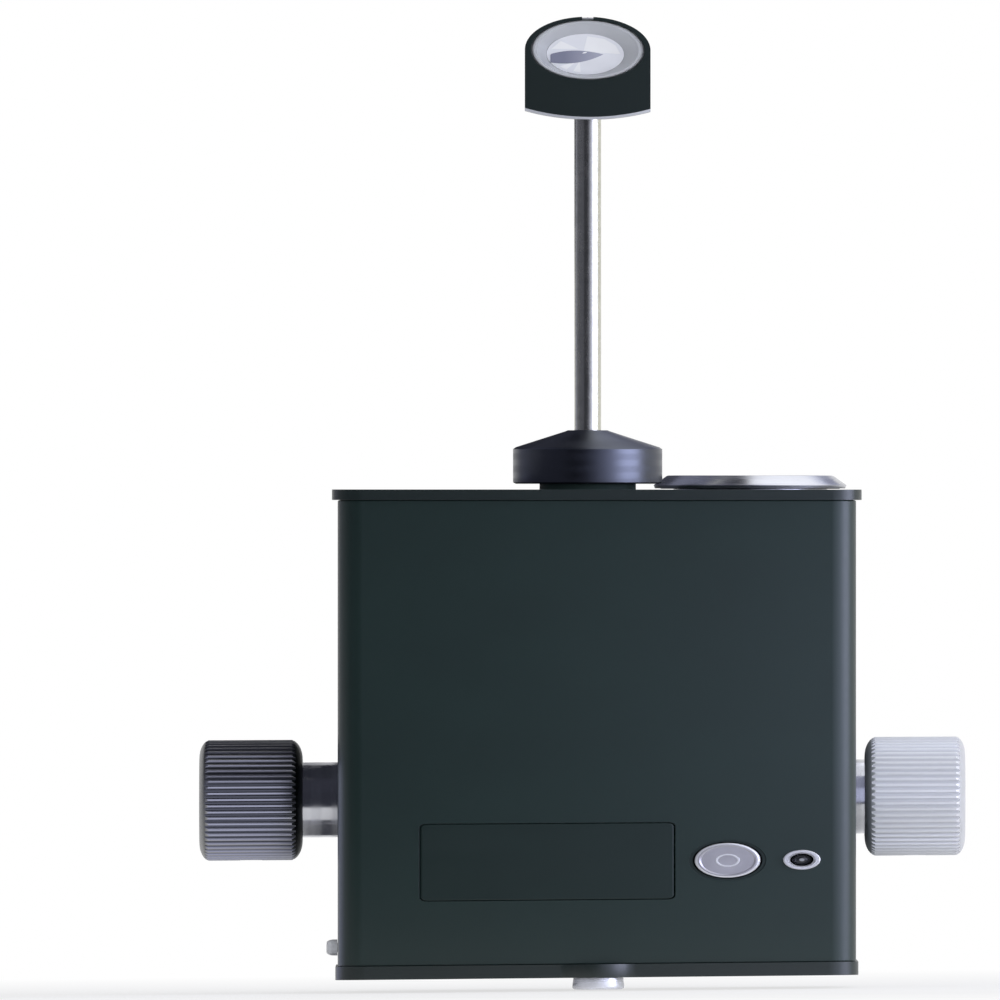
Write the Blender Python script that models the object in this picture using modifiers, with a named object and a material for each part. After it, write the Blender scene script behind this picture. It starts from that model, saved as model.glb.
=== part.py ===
"""An applanation tonometer for a slit lamp, modelled piece by piece.

Metres, +Z up. The front, with the display, faces -Y. The origin is the centre of the mounting pin's end face.
"""

import math

import bmesh
import bpy
from mathutils import Matrix, Vector

MM = 0.001

# Clearances
SEAM = 0.25 * MM  # between faces that rest on each other
RUNNING = 0.15 * MM  # radial room of a shaft, spigot or screw in its hole

# Sides of the round pieces
SIDES_SMALL = 10
SIDES_MEDIUM = 20
SIDES_LARGE = 32

# Housing and plates
HOUSING_WIDTH = 54.8 * MM
HOUSING_DEPTH = 42.0 * MM
HOUSING_HEIGHT = 93.0 * MM  # from plate to plate
WALL = 2.0 * MM
CORNER_RADIUS = 2.6 * MM
PLATE_OVERHANG = 0.6 * MM
PLATE_EDGE = 0.35 * MM  # bevel around the plates
BASE_THICKNESS = 2.7 * MM
TOP_THICKNESS = 2.1 * MM
BOSS_RADIUS = 2.6 * MM
BOSS_INSET = 2.2 * MM  # boss axis from the inner walls
BOSS_HEIGHT = 9.0 * MM

# Mounting pin, in the lobe at the front of the base plate
PIN_RADIUS = 2.75 * MM
PIN_REACH = 2.4 * MM  # below the base plate
PIN_EDGE = 0.5 * MM
PIN_SHANK_RADIUS = 2.0 * MM
PIN_TO_FRONT = 2.0 * MM  # pin axis to the housing's front face
LOBE_RADIUS = 4.0 * MM
LOBE_FILLET = 2.5 * MM

# Screws
SCREW_RADIUS = 1.0 * MM
SCREW_HEAD_RADIUS = 2.1 * MM
SCREW_HEAD_HEIGHT = 1.1 * MM
SCREW_LENGTH = 7.5 * MM
SOCKET_RADIUS = 0.85 * MM
SOCKET_DEPTH = 0.8 * MM

# Side stud
STUD_RADIUS = 1.6 * MM
STUD_REACH = 1.2 * MM
STUD_SHANK_RADIUS = 0.9 * MM
STUD_HEIGHT = 3.7 * MM  # above the base plate
STUD_DEPTH = 13.0 * MM  # behind the front face

# Knobs and their shaft
KNOB_RADIUS = 12.0 * MM
KNOB_LENGTH = 10.8 * MM
KNOB_FLUTES = 60
FLUTE_DEPTH = 0.45 * MM
KNOB_CHAMFER = 0.55 * MM
KNOB_ROUND = 1.0 * MM
KNOB_BORE_DEPTH = 8.0 * MM
KNOB_HEIGHT = 33.1 * MM  # axis above the base plate
LEFT_STAND_OFF = 3.7 * MM  # knob's inner face from the housing's side
RIGHT_STAND_OFF = 1.0 * MM
SHAFT_RADIUS = 3.0 * MM
BUSH_RADIUS = 7.5 * MM
BUSH_SPIGOT_RADIUS = 5.0 * MM
GRUB_RADIUS = 1.05 * MM
GRUB_SINK = 1.5 * MM  # below the knob's surface

# Force train: cam, plunger, spring and the tail of the lever, from back to front
KNOB_TURN = math.radians(300)
CAM_RADIUS = 5.5 * MM
CAM_RISE = 2.0 * MM
CAM_THICKNESS = 3.0 * MM
CAM_DROP = math.radians(35)
PLUNGER_RADIUS = 1.6 * MM
PLUNGER_FLANGE_RADIUS = 2.6 * MM
PLUNGER_FLANGE = 0.8 * MM
PLUNGER_TIP_ROOM = 0.5 * MM  # cam at full rise to the guide
GUIDE_THICKNESS = 2.5 * MM
GUIDE_ROOM = 1.3 * MM
GUIDE_HEIGHT = 9.0 * MM
SPRING_LENGTH = 4.9 * MM
SPRING_RADIUS = 1.6 * MM
SPRING_WIRE = 0.25 * MM  # radius
SPRING_TURNS = 4
TAIL_THICKNESS = 2.0 * MM
TAIL_ROOM = 2.0 * MM  # tail to the housing's front wall
TAIL_PAD = 2.2 * MM  # tail below the plunger's axis

# Measuring arm
ARM_X = -1.1 * MM
ARM_DEPTH = 16.0 * MM  # behind the front face
ARM_TILT = math.radians(2.5)
PIVOT_RISE = 37.8 * MM  # pivot above the knobs' shaft
AXLE_RADIUS = 1.5 * MM
BEARING_RADIUS = 4.0 * MM
BEARING_WIDTH = 2.5 * MM
HUB_RADIUS = 6.0 * MM
HUB_WIDTH = 9.0 * MM
LEVER_WIDTH = 5.0 * MM
SOCKET_ROOM = 6.1 * MM  # lever's rod socket below the top plate
LEVER_HALF = 3.0 * MM  # half depth of the socket and of the counterweight's branch
BRANCH_REACH = 7.0 * MM
BRANCH_DROP = 10.0 * MM
TAIL_STRAIGHT = 12.0 * MM  # upright part of the tail above the plunger's axis
WEIGHT_RADIUS = 5.4 * MM
WEIGHT_HEIGHT = 14.5 * MM
WEIGHT_THREAD = 4.0 * MM  # screw in the lever's branch
STOP_RADIUS = 1.0 * MM
STOP_ROOM = 0.2 * MM  # lever to stop at the end of its tilt
ROD_RADIUS = 1.42 * MM
ROD_SEAT = 6.0 * MM  # rod's lower end above the pivot
ROD_IN_HOLDER = 2.4 * MM
COLLAR_RADIUS = 7.9 * MM
COLLAR_WALL = 0.9 * MM
COLLAR_GAP = 1.15 * MM  # over the top plate
COLLAR_HEIGHT = 7.25 * MM
COLLAR_CONE = 3.5 * MM
COLLAR_TOP_RADIUS = 2.35 * MM
COLLAR_CAVITY = 4.2 * MM
NECK_RADIUS = 5.1 * MM
NECK_WALL = 1.5 * MM
NECK_RISE = 3.8 * MM  # above the top plate
NECK_FLANGE = 1.3 * MM

# Prism and its holder
PRISM_HEIGHT = 88.2 * MM  # prism axis above the top plate
HOLDER_WALL = 0.65 * MM  # around the prism
HOLDER_DEPTH = 9.0 * MM
HOLDER_SIDE_DROP = 12.3 * MM  # lower corners below the prism axis
HOLDER_BELLY_RADIUS = 14.3 * MM
NOTCH_WIDTH = 1.05 * MM
NOTCH_DEPTH = 0.4 * MM
PRISM_RADIUS = 5.85 * MM
PRISM_RECESS = 0.4 * MM  # behind the holder's front face
PRISM_LENS_RADIUS = 4.05 * MM
PRISM_LENS_DEPTH = 1.5 * MM
PRISM_RIM_RADIUS = 6.9 * MM
PRISM_RIM = 2.6 * MM
PRISM_CONE = 7.4 * MM
PRISM_FACE_RADIUS = 3.53 * MM

# Front controls
CONTROL_HEIGHT = 20.6 * MM  # above the base plate
WINDOW_GAP = 1.3 * MM  # window to the button's hole
WINDOW_WIDTH = 27.3 * MM
WINDOW_HEIGHT = 15.8 * MM
WINDOW_CORNER = 0.8 * MM
WINDOW_GROOVE = 0.2 * MM
WINDOW_LEDGE = 0.7 * MM
WINDOW_SINK = 0.12 * MM
PANE_THICKNESS = 1.0 * MM
BUTTON_GAP = 1.82 * MM  # button's hole to the indicator
BUTTON_RADIUS = 3.5 * MM
BUTTON_HOLE_RADIUS = 4.1 * MM
BUTTON_FLANGE_RADIUS = 4.7 * MM
BUTTON_FLANGE = 0.9 * MM
BUTTON_PROUD = 0.5 * MM
BUTTON_TRAVEL = 0.8 * MM
BUTTON_STEM_RADIUS = 1.3 * MM
SWITCH_SIZE = 6.0 * MM
SWITCH_HEIGHT = 2.2 * MM
SWITCH_PLUNGER_RADIUS = 1.0 * MM
SWITCH_FLOOR = 0.35 * MM
LED_TO_SIDE = 5.8 * MM  # indicator's axis from the housing's right side
LED_RADIUS = 1.1 * MM
BEZEL_RADIUS = 1.98 * MM
BEZEL_BARREL = 1.6 * MM
BEZEL_FLANGE = 0.3 * MM
BEZEL_LENGTH = 3.0 * MM

# Circuit board
BOARD_DEPTH = 6.25 * MM  # behind the housing's front wall
BOARD_THICKNESS = 1.6 * MM
BOARD_SIDE_ROOM = 0.9 * MM  # to the housing's side walls
BOARD_LOW = 2.9 * MM  # above the base plate
BOARD_TOP_ROOM = 1.0 * MM  # below the lever's tail
BOARD_BOSS_RADIUS = 2.2 * MM
BOARD_SCREW_RADIUS = 0.9 * MM
BOARD_SCREW_HEAD = 1.9 * MM
BOARD_SCREW_INSET = 3.0 * MM
BOARD_SCREW_RISE = 8.4 * MM  # above the board's lower edge
BOARD_SCREW_TOP = 1.2 * MM  # height of the screws' heads
BOARD_SCREW_ROOM = 1.5 * MM  # left under the screws' ends
MODULE_DEPTH = 5.6 * MM

# Battery compartment
CELL_RADIUS = 7.25 * MM  # lithium cell, half the length of an AA
CELL_LENGTH = 24.2 * MM  # without its nub
CELL_NUB_RADIUS = 2.6 * MM
CELL_NUB = 1.0 * MM
CELL_ROOM = 0.25 * MM
CELL_SPRING_LENGTH = 2.0 * MM
CELL_SPRING_RADIUS = 4.0 * MM
CELL_SPRING_WIRE = 0.3 * MM
TUBE_WALL = 1.1 * MM
TUBE_FLOOR = 1.2 * MM
WELL_SIDE_ROOM = 0.3 * MM  # battery well to the housing's right wall
WELL_BACK_ROOM = 2.6 * MM  # battery well to the housing's back wall
CAP_LIP = 0.75 * MM  # cap's edge outside its seal
CAP_RIM = 0.7 * MM
CAP_CHAMFER = 1.5 * MM
CAP_CHAMFER_HEIGHT = 1.9 * MM
CAP_SKIRT_ROOM = 0.2 * MM  # around the cell
CAP_SKIRT_WALL = 0.75 * MM
CAP_SKIRT_LENGTH = 6.5 * MM
CAP_RING_WALL = 0.55 * MM
CAP_RING_LENGTH = 8.0 * MM
SEAL_ROOM = 0.55 * MM  # around the cap's skirt
SEAL_WIDTH = 0.8 * MM
SEAL_HEIGHT = 0.6 * MM
CONTACT_RADIUS = 5.0 * MM
CONTACT_THICKNESS = 0.6 * MM

# Chassis and encoder
CHASSIS_FLOOR = 2.2 * MM
CHASSIS_LEFT = 18.0 * MM
CHASSIS_RIGHT = 14.0 * MM
CHASSIS_FRONT_ROOM = 9.0 * MM  # to the housing's front wall
CHASSIS_BACK_ROOM = 4.0 * MM  # to the housing's back wall
CHASSIS_SCREW_INSET = 4.0 * MM  # from the floor's edges
CHEEK_THICKNESS = 2.0 * MM
CHEEK_ROOM = 0.6 * MM  # to the counterweight between the cheeks
CHEEK_HEEL_DROP = 8.0 * MM  # upper end of the back edge, below the shaft
CHEEK_FOOT_RISE = 8.0 * MM  # upper end of the front edge, above the shaft
CHEEK_SHAFT_MARGIN = 7.0 * MM  # behind the shaft
CHEEK_SHAFT_RISE = 10.0 * MM
CHEEK_NECK_DROP = 8.0 * MM  # below the pivot, where the head begins
CHEEK_TOP = 6.0 * MM  # above the pivot
CHEEK_STOP_MARGIN = 1.1 * MM  # around the front stop
CHEEK_STOP_SPAN = 5.0 * MM  # above and below the front stop
SHAFT_HOLE_ROOM = 0.6 * MM
DISC_X = -14.0 * MM
DISC_RADIUS = 8.0 * MM
DISC_THICKNESS = 0.8 * MM
DISC_HUB_RADIUS = 5.0 * MM
DISC_HUB = 2.1 * MM
SENSOR_WIDTH = 5.2 * MM
SENSOR_DEPTH = 6.0 * MM
SENSOR_OVERLAP = 2.2 * MM  # prongs over the disc's edge
SENSOR_BASE = 2.5 * MM
SENSOR_SLOT = 2.0 * MM

# Levels and planes worked out from the sizes above
BASE_TOP = PIN_REACH + BASE_THICKNESS
HOUSING_LOW = BASE_TOP + SEAM
PLATE_LOW = BASE_TOP + HOUSING_HEIGHT
HOUSING_TOP = PLATE_LOW - SEAM
PLATE_TOP = PLATE_LOW + TOP_THICKNESS
SIDE = HOUSING_WIDTH / 2
FRONT = -PIN_TO_FRONT
BACK = FRONT + HOUSING_DEPTH
INNER_SIDE = SIDE - WALL
INNER_FRONT = FRONT + WALL
INNER_BACK = BACK - WALL
BOSS_PLACES = [
    (side * (INNER_SIDE - BOSS_INSET), y)
    for y in (INNER_FRONT + BOSS_INSET, INNER_BACK - BOSS_INSET)
    for side in (-1, 1)
]

TAIL_FRONT = INNER_FRONT + TAIL_ROOM
TAIL_BACK = TAIL_FRONT + TAIL_THICKNESS
SPRING_FRONT = TAIL_BACK + SEAM
SPRING_BACK = SPRING_FRONT + SPRING_LENGTH
PLUNGER_FRONT = SPRING_BACK + SEAM
FLANGE_BACK = PLUNGER_FRONT + PLUNGER_FLANGE
GUIDE_FRONT = FLANGE_BACK + GUIDE_ROOM
GUIDE_BACK = GUIDE_FRONT + GUIDE_THICKNESS
PLUNGER_TIP = GUIDE_BACK + CAM_RISE + PLUNGER_TIP_ROOM
SHAFT_Y = PLUNGER_TIP + SEAM + CAM_RADIUS
SHAFT_Z = BASE_TOP + KNOB_HEIGHT
SHAFT_AXIS = Vector((0, SHAFT_Y, SHAFT_Z))

ARM_Y = FRONT + ARM_DEPTH
PIVOT_Z = SHAFT_Z + PIVOT_RISE
PIVOT = Vector((ARM_X, ARM_Y, PIVOT_Z))
SOCKET_TOP = PLATE_LOW - SOCKET_ROOM
PRISM_AXIS = Vector((ARM_X, ARM_Y, PLATE_TOP + PRISM_HEIGHT))
HOLDER_HALF_WIDTH = PRISM_RADIUS + RUNNING + HOLDER_WALL
TAIL_LOW = SHAFT_Z - TAIL_PAD
WEIGHT_Y = ARM_Y + BRANCH_REACH
BRANCH_LOW = PIVOT_Z - BRANCH_DROP

CONTROL_Z = BASE_TOP + CONTROL_HEIGHT
LED_X = SIDE - LED_TO_SIDE
BUTTON_X = LED_X - BEZEL_RADIUS - BUTTON_GAP - BUTTON_HOLE_RADIUS
WINDOW_X = BUTTON_X - BUTTON_HOLE_RADIUS - WINDOW_GAP - WINDOW_WIDTH / 2
BOARD_FRONT = INNER_FRONT + BOARD_DEPTH
BOARD_BACK = BOARD_FRONT + BOARD_THICKNESS
BOARD_BOTTOM = BASE_TOP + BOARD_LOW
BOARD_TOP = TAIL_LOW - BOARD_TOP_ROOM
BOARD_SIDE = INNER_SIDE - BOARD_SIDE_ROOM

CHASSIS_FRONT = INNER_FRONT + CHASSIS_FRONT_ROOM
CHASSIS_BACK = INNER_BACK - CHASSIS_BACK_ROOM
CHEEK_SPACING = 2 * (max(WEIGHT_RADIUS, HUB_WIDTH / 2) + CHEEK_ROOM) + CHEEK_THICKNESS  # middle to middle

CAP_SKIRT_RADIUS = CELL_RADIUS + CAP_SKIRT_ROOM + CAP_SKIRT_WALL
SEAL_INNER = CAP_SKIRT_RADIUS + SEAL_ROOM
CAP_RADIUS = SEAL_INNER + SEAL_WIDTH + CAP_LIP
RING_INNER = CAP_SKIRT_RADIUS + RUNNING
RING_OUTER = RING_INNER + CAP_RING_WALL
TUBE_RADIUS = CELL_RADIUS + CELL_ROOM + TUBE_WALL
WELL_RADIUS = max(TUBE_RADIUS, RING_OUTER)
CAP_X = INNER_SIDE - WELL_SIDE_ROOM - WELL_RADIUS
CAP_Y = INNER_BACK - WELL_BACK_ROOM - WELL_RADIUS
CAP_LOW = PLATE_TOP + SEAM
RING_LOW = PLATE_TOP - CAP_RING_LENGTH
CONTACT_LOW = CAP_LOW - SEAM - CONTACT_THICKNESS
CELL_TOP = CONTACT_LOW - SEAM - CELL_NUB
CELL_LOW = CELL_TOP - CELL_LENGTH
TUBE_FLOOR_TOP = CELL_LOW - 2 * SEAM - CELL_SPRING_LENGTH

# Finishes: colour, metallic, roughness
SATIN_BLACK = ((0.024, 0.031, 0.037), 0.3, 0.42)
BLACK_ANODISED = ((0.035, 0.038, 0.045), 0.7, 0.36)
SILVER_ANODISED = ((0.62, 0.64, 0.72), 0.9, 0.34)
POLISHED_STEEL = ((0.58, 0.58, 0.62), 1.0, 0.14)
TURNED_ALUMINIUM = ((0.56, 0.57, 0.62), 1.0, 0.28)
ZINC_STEEL = ((0.50, 0.51, 0.53), 1.0, 0.35)
BRASS = ((0.60, 0.43, 0.16), 1.0, 0.30)
CLEAR_ACRYLIC = ((0.80, 0.81, 0.86), 0.0, 0.06)
SMOKED_ACRYLIC = ((0.017, 0.022, 0.026), 0.0, 0.12)
BLACK_PLASTIC = ((0.015, 0.015, 0.017), 0.0, 0.45)
BLACK_RUBBER = ((0.012, 0.012, 0.012), 0.0, 0.75)
GREEN_BOARD = ((0.012, 0.105, 0.045), 0.0, 0.40)
PALE_PLASTIC = ((0.55, 0.56, 0.57), 0.0, 0.40)
CELL_JACKET = ((0.10, 0.16, 0.26), 0.2, 0.30)

AXIS_TURN = {"X": (0, math.pi / 2, 0), "Y": (-math.pi / 2, 0, 0), "Z": (0, 0, 0)}


def clear_scene():
    for old in list(bpy.data.objects):
        bpy.data.objects.remove(old, do_unlink=True)


def make_collection(name):
    collection = bpy.data.collections.new(name)
    bpy.context.scene.collection.children.link(collection)
    return collection


clear_scene()
PARTS = make_collection("applanation_tonometer")
CUTTERS = make_collection("cutters")


def paint(obj, finish):
    """Gives the piece its own Principled material."""
    colour, metallic, roughness = finish
    material = bpy.data.materials.new(obj.name)
    material.use_nodes = True
    shader = material.node_tree.nodes["Principled BSDF"]
    shader.inputs["Base Color"].default_value = (*colour, 1)
    shader.inputs["Metallic"].default_value = metallic
    shader.inputs["Roughness"].default_value = roughness
    obj.data.materials.append(material)


def place(name, data, finish=None):
    """A new object: a part with a finish, or a hidden cutter without one."""
    obj = bpy.data.objects.new(name, data)
    if finish:
        PARTS.objects.link(obj)
        paint(obj, finish)
    else:
        CUTTERS.objects.link(obj)
        obj.hide_render = True
        obj.display_type = "WIRE"
    return obj


def from_bmesh(name, shape, finish=None):
    mesh = bpy.data.meshes.new(name)
    shape.to_mesh(mesh)
    shape.free()
    return place(name, mesh, finish)


def block(name, low, high, finish=None, corner=0, corner_axis="Z", edge=0):
    """A box between two corners. Its edges along corner_axis are rounded, then its other edges bevelled."""
    low, high = Vector(low), Vector(high)
    shape = bmesh.new()
    bmesh.ops.create_cube(shape, size=1)
    bmesh.ops.scale(shape, vec=high - low, verts=shape.verts)
    bmesh.ops.translate(shape, vec=(low + high) / 2, verts=shape.verts)
    along = "XYZ".index(corner_axis)
    if corner:
        edges = [e for e in shape.edges if abs((e.verts[0].co - e.verts[1].co)[along]) > 1e-6]
        bmesh.ops.bevel(shape, geom=edges, offset=corner, segments=6, profile=0.5, affect="EDGES")
    if edge:
        edges = [e for e in shape.edges if abs((e.verts[0].co - e.verts[1].co)[along]) < 1e-6]
        bmesh.ops.bevel(shape, geom=edges, offset=edge, segments=1, affect="EDGES")
    return from_bmesh(name, shape, finish)


def drum(name, radius, low, high, at, axis="Z", finish=None, sides=SIDES_MEDIUM):
    """A cylinder from low to high, measured along its axis from the point at."""
    shape = bmesh.new()
    bmesh.ops.create_cone(
        shape, cap_ends=True, segments=sides, radius1=radius, radius2=radius, depth=high - low,
        matrix=Matrix.Translation((0, 0, (low + high) / 2)),
    )
    obj = from_bmesh(name, shape, finish)
    obj.location = at
    obj.rotation_euler = AXIS_TURN[axis]
    soften(obj)
    return obj


def turned(name, profile, at, axis="Z", finish=None, ring=False, sides=SIDES_MEDIUM):
    """A profile of (radius, height) points, from the top down its outer side, turned about its axis."""
    mesh = bpy.data.meshes.new(name)
    count = len(profile)
    edges = [(i, (i + 1) % count) for i in range(count if ring else count - 1)]
    mesh.from_pydata([(radius, 0, height) for radius, height in profile], edges, [])
    obj = place(name, mesh, finish)
    obj.location = at
    obj.rotation_euler = AXIS_TURN[axis]
    screw = obj.modifiers.new("turn", "SCREW")
    screw.steps = sides
    screw.render_steps = sides
    screw.use_merge_vertices = True
    screw.merge_threshold = 0.00001
    return obj


def tube(name, outer, inner, low, high, at, axis="Z", finish=None, sides=SIDES_MEDIUM):
    profile = [(outer, high), (outer, low), (inner, low), (inner, high)]
    return turned(name, profile, at, axis, finish, ring=True, sides=sides)


def plate(name, outline, low, high, facing, finish=None):
    """A flat outline made solid. It lies in XY, or in YZ when facing is X, or in XZ when facing is Y."""
    curve = bpy.data.curves.new(name, "CURVE")
    curve.dimensions = "2D"
    curve.fill_mode = "NONE"
    curve.extrude = (high - low) / 2
    spline = curve.splines.new("POLY")
    spline.points.add(len(outline) - 1)
    for point, (a, b) in zip(spline.points, outline):
        point.co = (a, b, 0, 1)
    spline.use_cyclic_u = True
    guide = bpy.data.objects.new(name, curve)
    bpy.context.scene.collection.objects.link(guide)
    bpy.context.view_layer.update()
    mesh = bpy.data.meshes.new_from_object(guide.evaluated_get(bpy.context.evaluated_depsgraph_get()))
    bpy.data.objects.remove(guide, do_unlink=True)
    bpy.data.curves.remove(curve)
    shape = bmesh.new()
    shape.from_mesh(mesh)
    bpy.data.meshes.remove(mesh)
    bmesh.ops.remove_doubles(shape, verts=shape.verts, dist=1e-6)
    bmesh.ops.holes_fill(shape, edges=shape.edges)
    bmesh.ops.translate(shape, vec=(0, 0, (low + high) / 2), verts=shape.verts)
    frames = {
        "X": Matrix(((0, 0, 1), (1, 0, 0), (0, 1, 0))),
        "Y": Matrix(((1, 0, 0), (0, 0, 1), (0, 1, 0))),
        "Z": Matrix.Identity(3),
    }
    bmesh.ops.transform(shape, matrix=frames[facing].to_4x4(), verts=shape.verts)
    bmesh.ops.recalc_face_normals(shape, faces=shape.faces)
    return from_bmesh(name, shape, finish)


def combine(target, tool, operation):
    change = target.modifiers.new(f"{operation.lower()} {tool.name}", "BOOLEAN")
    change.operation = operation
    change.object = tool
    change.solver = "EXACT"


def cut(target, *tools):
    for tool in tools:
        combine(target, tool, "DIFFERENCE")


def join(target, *tools):
    for tool in tools:
        combine(target, tool, "UNION")


def soften(obj):
    obj.data.shade_smooth()
    obj.data.set_sharp_from_angle(angle=math.radians(35))


def coil(name, radius, wire, turns, low, high, at, axis, finish):
    """A helical spring whose wire stays between low and high along its axis."""
    per_turn = 10
    curve = bpy.data.curves.new(name, "CURVE")
    curve.dimensions = "3D"
    curve.bevel_depth = wire
    curve.bevel_resolution = 1
    curve.use_fill_caps = True
    spline = curve.splines.new("POLY")
    count = turns * per_turn + 1
    spline.points.add(count - 1)
    for i, point in enumerate(spline.points):
        angle = 2 * math.pi * i / per_turn
        height = low + wire + (high - low - 2 * wire) * i / (count - 1)
        point.co = (radius * math.cos(angle), radius * math.sin(angle), height, 1)
    obj = place(name, curve, finish)
    obj.location = at
    obj.rotation_euler = AXIS_TURN[axis]
    return obj


def arc(centre, radius, start, end, steps):
    """Points on an arc, with its angles in radians."""
    return [
        (
            centre[0] + radius * math.cos(start + (end - start) * i / steps),
            centre[1] + radius * math.sin(start + (end - start) * i / steps),
        )
        for i in range(steps + 1)
    ]


def joint_axis(name, at):
    """An empty on a joint's axis, which carries the pieces that move together."""
    empty = bpy.data.objects.new(name, None)
    empty.location = at
    empty.empty_display_size = 5 * MM
    PARTS.objects.link(empty)
    return empty


def carry(empty, *pieces):
    for piece in pieces:
        piece.parent = empty
        piece.matrix_parent_inverse = Matrix.Translation(-Vector(empty.location))


def screw(name, at, head_up, length, finish=ZINC_STEEL):
    """A countersunk screw. Its head's face is at the point at, and looks up or down."""
    way = 1 if head_up else -1
    profile = [
        (0, 0),
        (SCREW_HEAD_RADIUS, 0),
        (SCREW_RADIUS, -SCREW_HEAD_HEIGHT),
        (SCREW_RADIUS, -length),
        (0, -length),
    ]
    if not head_up:
        profile = [(radius, -height) for radius, height in reversed(profile)]
    obj = turned(name, profile, at, "Z", finish, sides=SIDES_SMALL)
    low, high = sorted((-way * SOCKET_DEPTH, way * SOCKET_DEPTH))
    cut(obj, drum(f"{name}_socket", SOCKET_RADIUS, low, high, at, sides=6))
    return obj


def screw_hole(name, at, head_up, depth):
    """The cutter for a countersunk screw's hole."""
    rim = SCREW_HEAD_RADIUS + RUNNING
    bore = SCREW_RADIUS + RUNNING
    over = 1 * MM
    mouth = rim + (rim - bore) * over / SCREW_HEAD_HEIGHT
    profile = [
        (0, over),
        (mouth, over),
        (bore, -SCREW_HEAD_HEIGHT),
        (bore, -depth),
        (0, -depth),
    ]
    if not head_up:
        profile = [(radius, -height) for radius, height in reversed(profile)]
    return turned(name, profile, at, sides=SIDES_SMALL)


def build_housing():
    housing = block(
        "housing", (-SIDE, FRONT, HOUSING_LOW), (SIDE, BACK, HOUSING_TOP), SATIN_BLACK, corner=CORNER_RADIUS
    )
    past = 5 * MM
    room = block(
        "housing_room",
        (-INNER_SIDE, INNER_FRONT, HOUSING_LOW - past),
        (INNER_SIDE, INNER_BACK, HOUSING_TOP + past),
    )
    cut(housing, room)
    for number, (x, y) in enumerate(BOSS_PLACES, 1):
        for end, low, high in (
            ("base", HOUSING_LOW, HOUSING_LOW + BOSS_HEIGHT),
            ("top", HOUSING_TOP - BOSS_HEIGHT, HOUSING_TOP),
        ):
            name = f"housing_{end}_boss_{number}"
            join(housing, drum(name, BOSS_RADIUS, low, high, (x, y, 0), sides=SIDES_SMALL))
            cut(
                housing,
                drum(
                    f"housing_{end}_thread_{number}", SCREW_RADIUS + RUNNING,
                    low - SEAM if end == "base" else high - BOSS_HEIGHT + 1 * MM,
                    low + BOSS_HEIGHT - 1 * MM if end == "base" else high + SEAM,
                    (x, y, 0), sides=SIDES_SMALL,
                ),
            )
    for number, (x, z) in enumerate(board_screw_places(), 1):
        join(
            housing,
            drum(
                f"board_boss_{number}", BOARD_BOSS_RADIUS, -WALL / 2, BOARD_DEPTH - SEAM,
                (x, INNER_FRONT, z), "Y", sides=SIDES_SMALL,
            ),
        )
        cut(
            housing,
            drum(
                f"board_thread_{number}", BOARD_SCREW_RADIUS + RUNNING, 0, BOARD_DEPTH + past,
                (x, INNER_FRONT, z), "Y", sides=SIDES_SMALL,
            ),
        )
    cut_front_openings(housing, past)
    for side, name in ((-1, "left"), (1, "right")):
        cut(
            housing,
            drum(
                f"{name}_bush_hole", BUSH_SPIGOT_RADIUS + RUNNING, -past, past,
                (side * SIDE, SHAFT_Y, SHAFT_Z), "X",
            ),
        )
    stud_at = (-SIDE, FRONT + STUD_DEPTH, BASE_TOP + STUD_HEIGHT)
    cut(housing, drum("stud_hole", STUD_SHANK_RADIUS + RUNNING, -past, past, stud_at, "X", sides=SIDES_SMALL))
    return housing


def window_box(inset, low, high, name, finish=None):
    """A rounded block behind the display window's outline, from low to high in depth."""
    half_width = WINDOW_WIDTH / 2 - inset
    half_height = WINDOW_HEIGHT / 2 - inset
    return block(
        name,
        (WINDOW_X - half_width, low, CONTROL_Z - half_height),
        (WINDOW_X + half_width, high, CONTROL_Z + half_height),
        finish, corner=WINDOW_CORNER, corner_axis="Y",
    )


def cut_front_openings(housing, past):
    ledge = FRONT + WINDOW_SINK + PANE_THICKNESS + SEAM
    cut(
        housing,
        window_box(0, FRONT - past, ledge, "window_seat"),
        window_box(WINDOW_LEDGE, FRONT, INNER_FRONT + past / 5, "window_opening"),
        drum("button_hole", BUTTON_HOLE_RADIUS, -past, past / 2, (BUTTON_X, INNER_FRONT, CONTROL_Z), "Y"),
        drum("led_hole", BEZEL_BARREL + RUNNING, -past, past / 2, (LED_X, INNER_FRONT, CONTROL_Z), "Y"),
    )


def base_outline():
    """The base plate's plan: a rounded rectangle with a lobe around the pin, blended into the front edge."""
    half = SIDE + PLATE_OVERHANG
    front, back = FRONT - PLATE_OVERHANG, BACK + PLATE_OVERHANG
    corner = CORNER_RADIUS + PLATE_OVERHANG
    fillet_y = front - LOBE_FILLET
    fillet_x = math.sqrt((LOBE_RADIUS + LOBE_FILLET) ** 2 - fillet_y**2)
    lean = math.atan2(-fillet_y, fillet_x)
    quarter = math.pi / 2
    points = arc((-half + corner, front + corner), corner, 2 * quarter, 3 * quarter, 5)
    points += arc((-fillet_x, fillet_y), LOBE_FILLET, quarter, lean, 4)
    points += arc((0, 0), LOBE_RADIUS, math.pi + lean, 2 * math.pi - lean, 10)[1:-1]
    points += arc((fillet_x, fillet_y), LOBE_FILLET, math.pi - lean, quarter, 4)
    points += arc((half - corner, front + corner), corner, 3 * quarter, 4 * quarter, 5)
    points += arc((half - corner, back - corner), corner, 0, quarter, 5)
    points += arc((-half + corner, back - corner), corner, quarter, 2 * quarter, 5)
    return points


def chassis_screw_places():
    """Two opposite corners of the chassis floor."""
    inset = CHASSIS_SCREW_INSET
    return [(-CHASSIS_LEFT + inset, CHASSIS_FRONT + inset), (CHASSIS_RIGHT - inset, CHASSIS_BACK - inset)]


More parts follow.
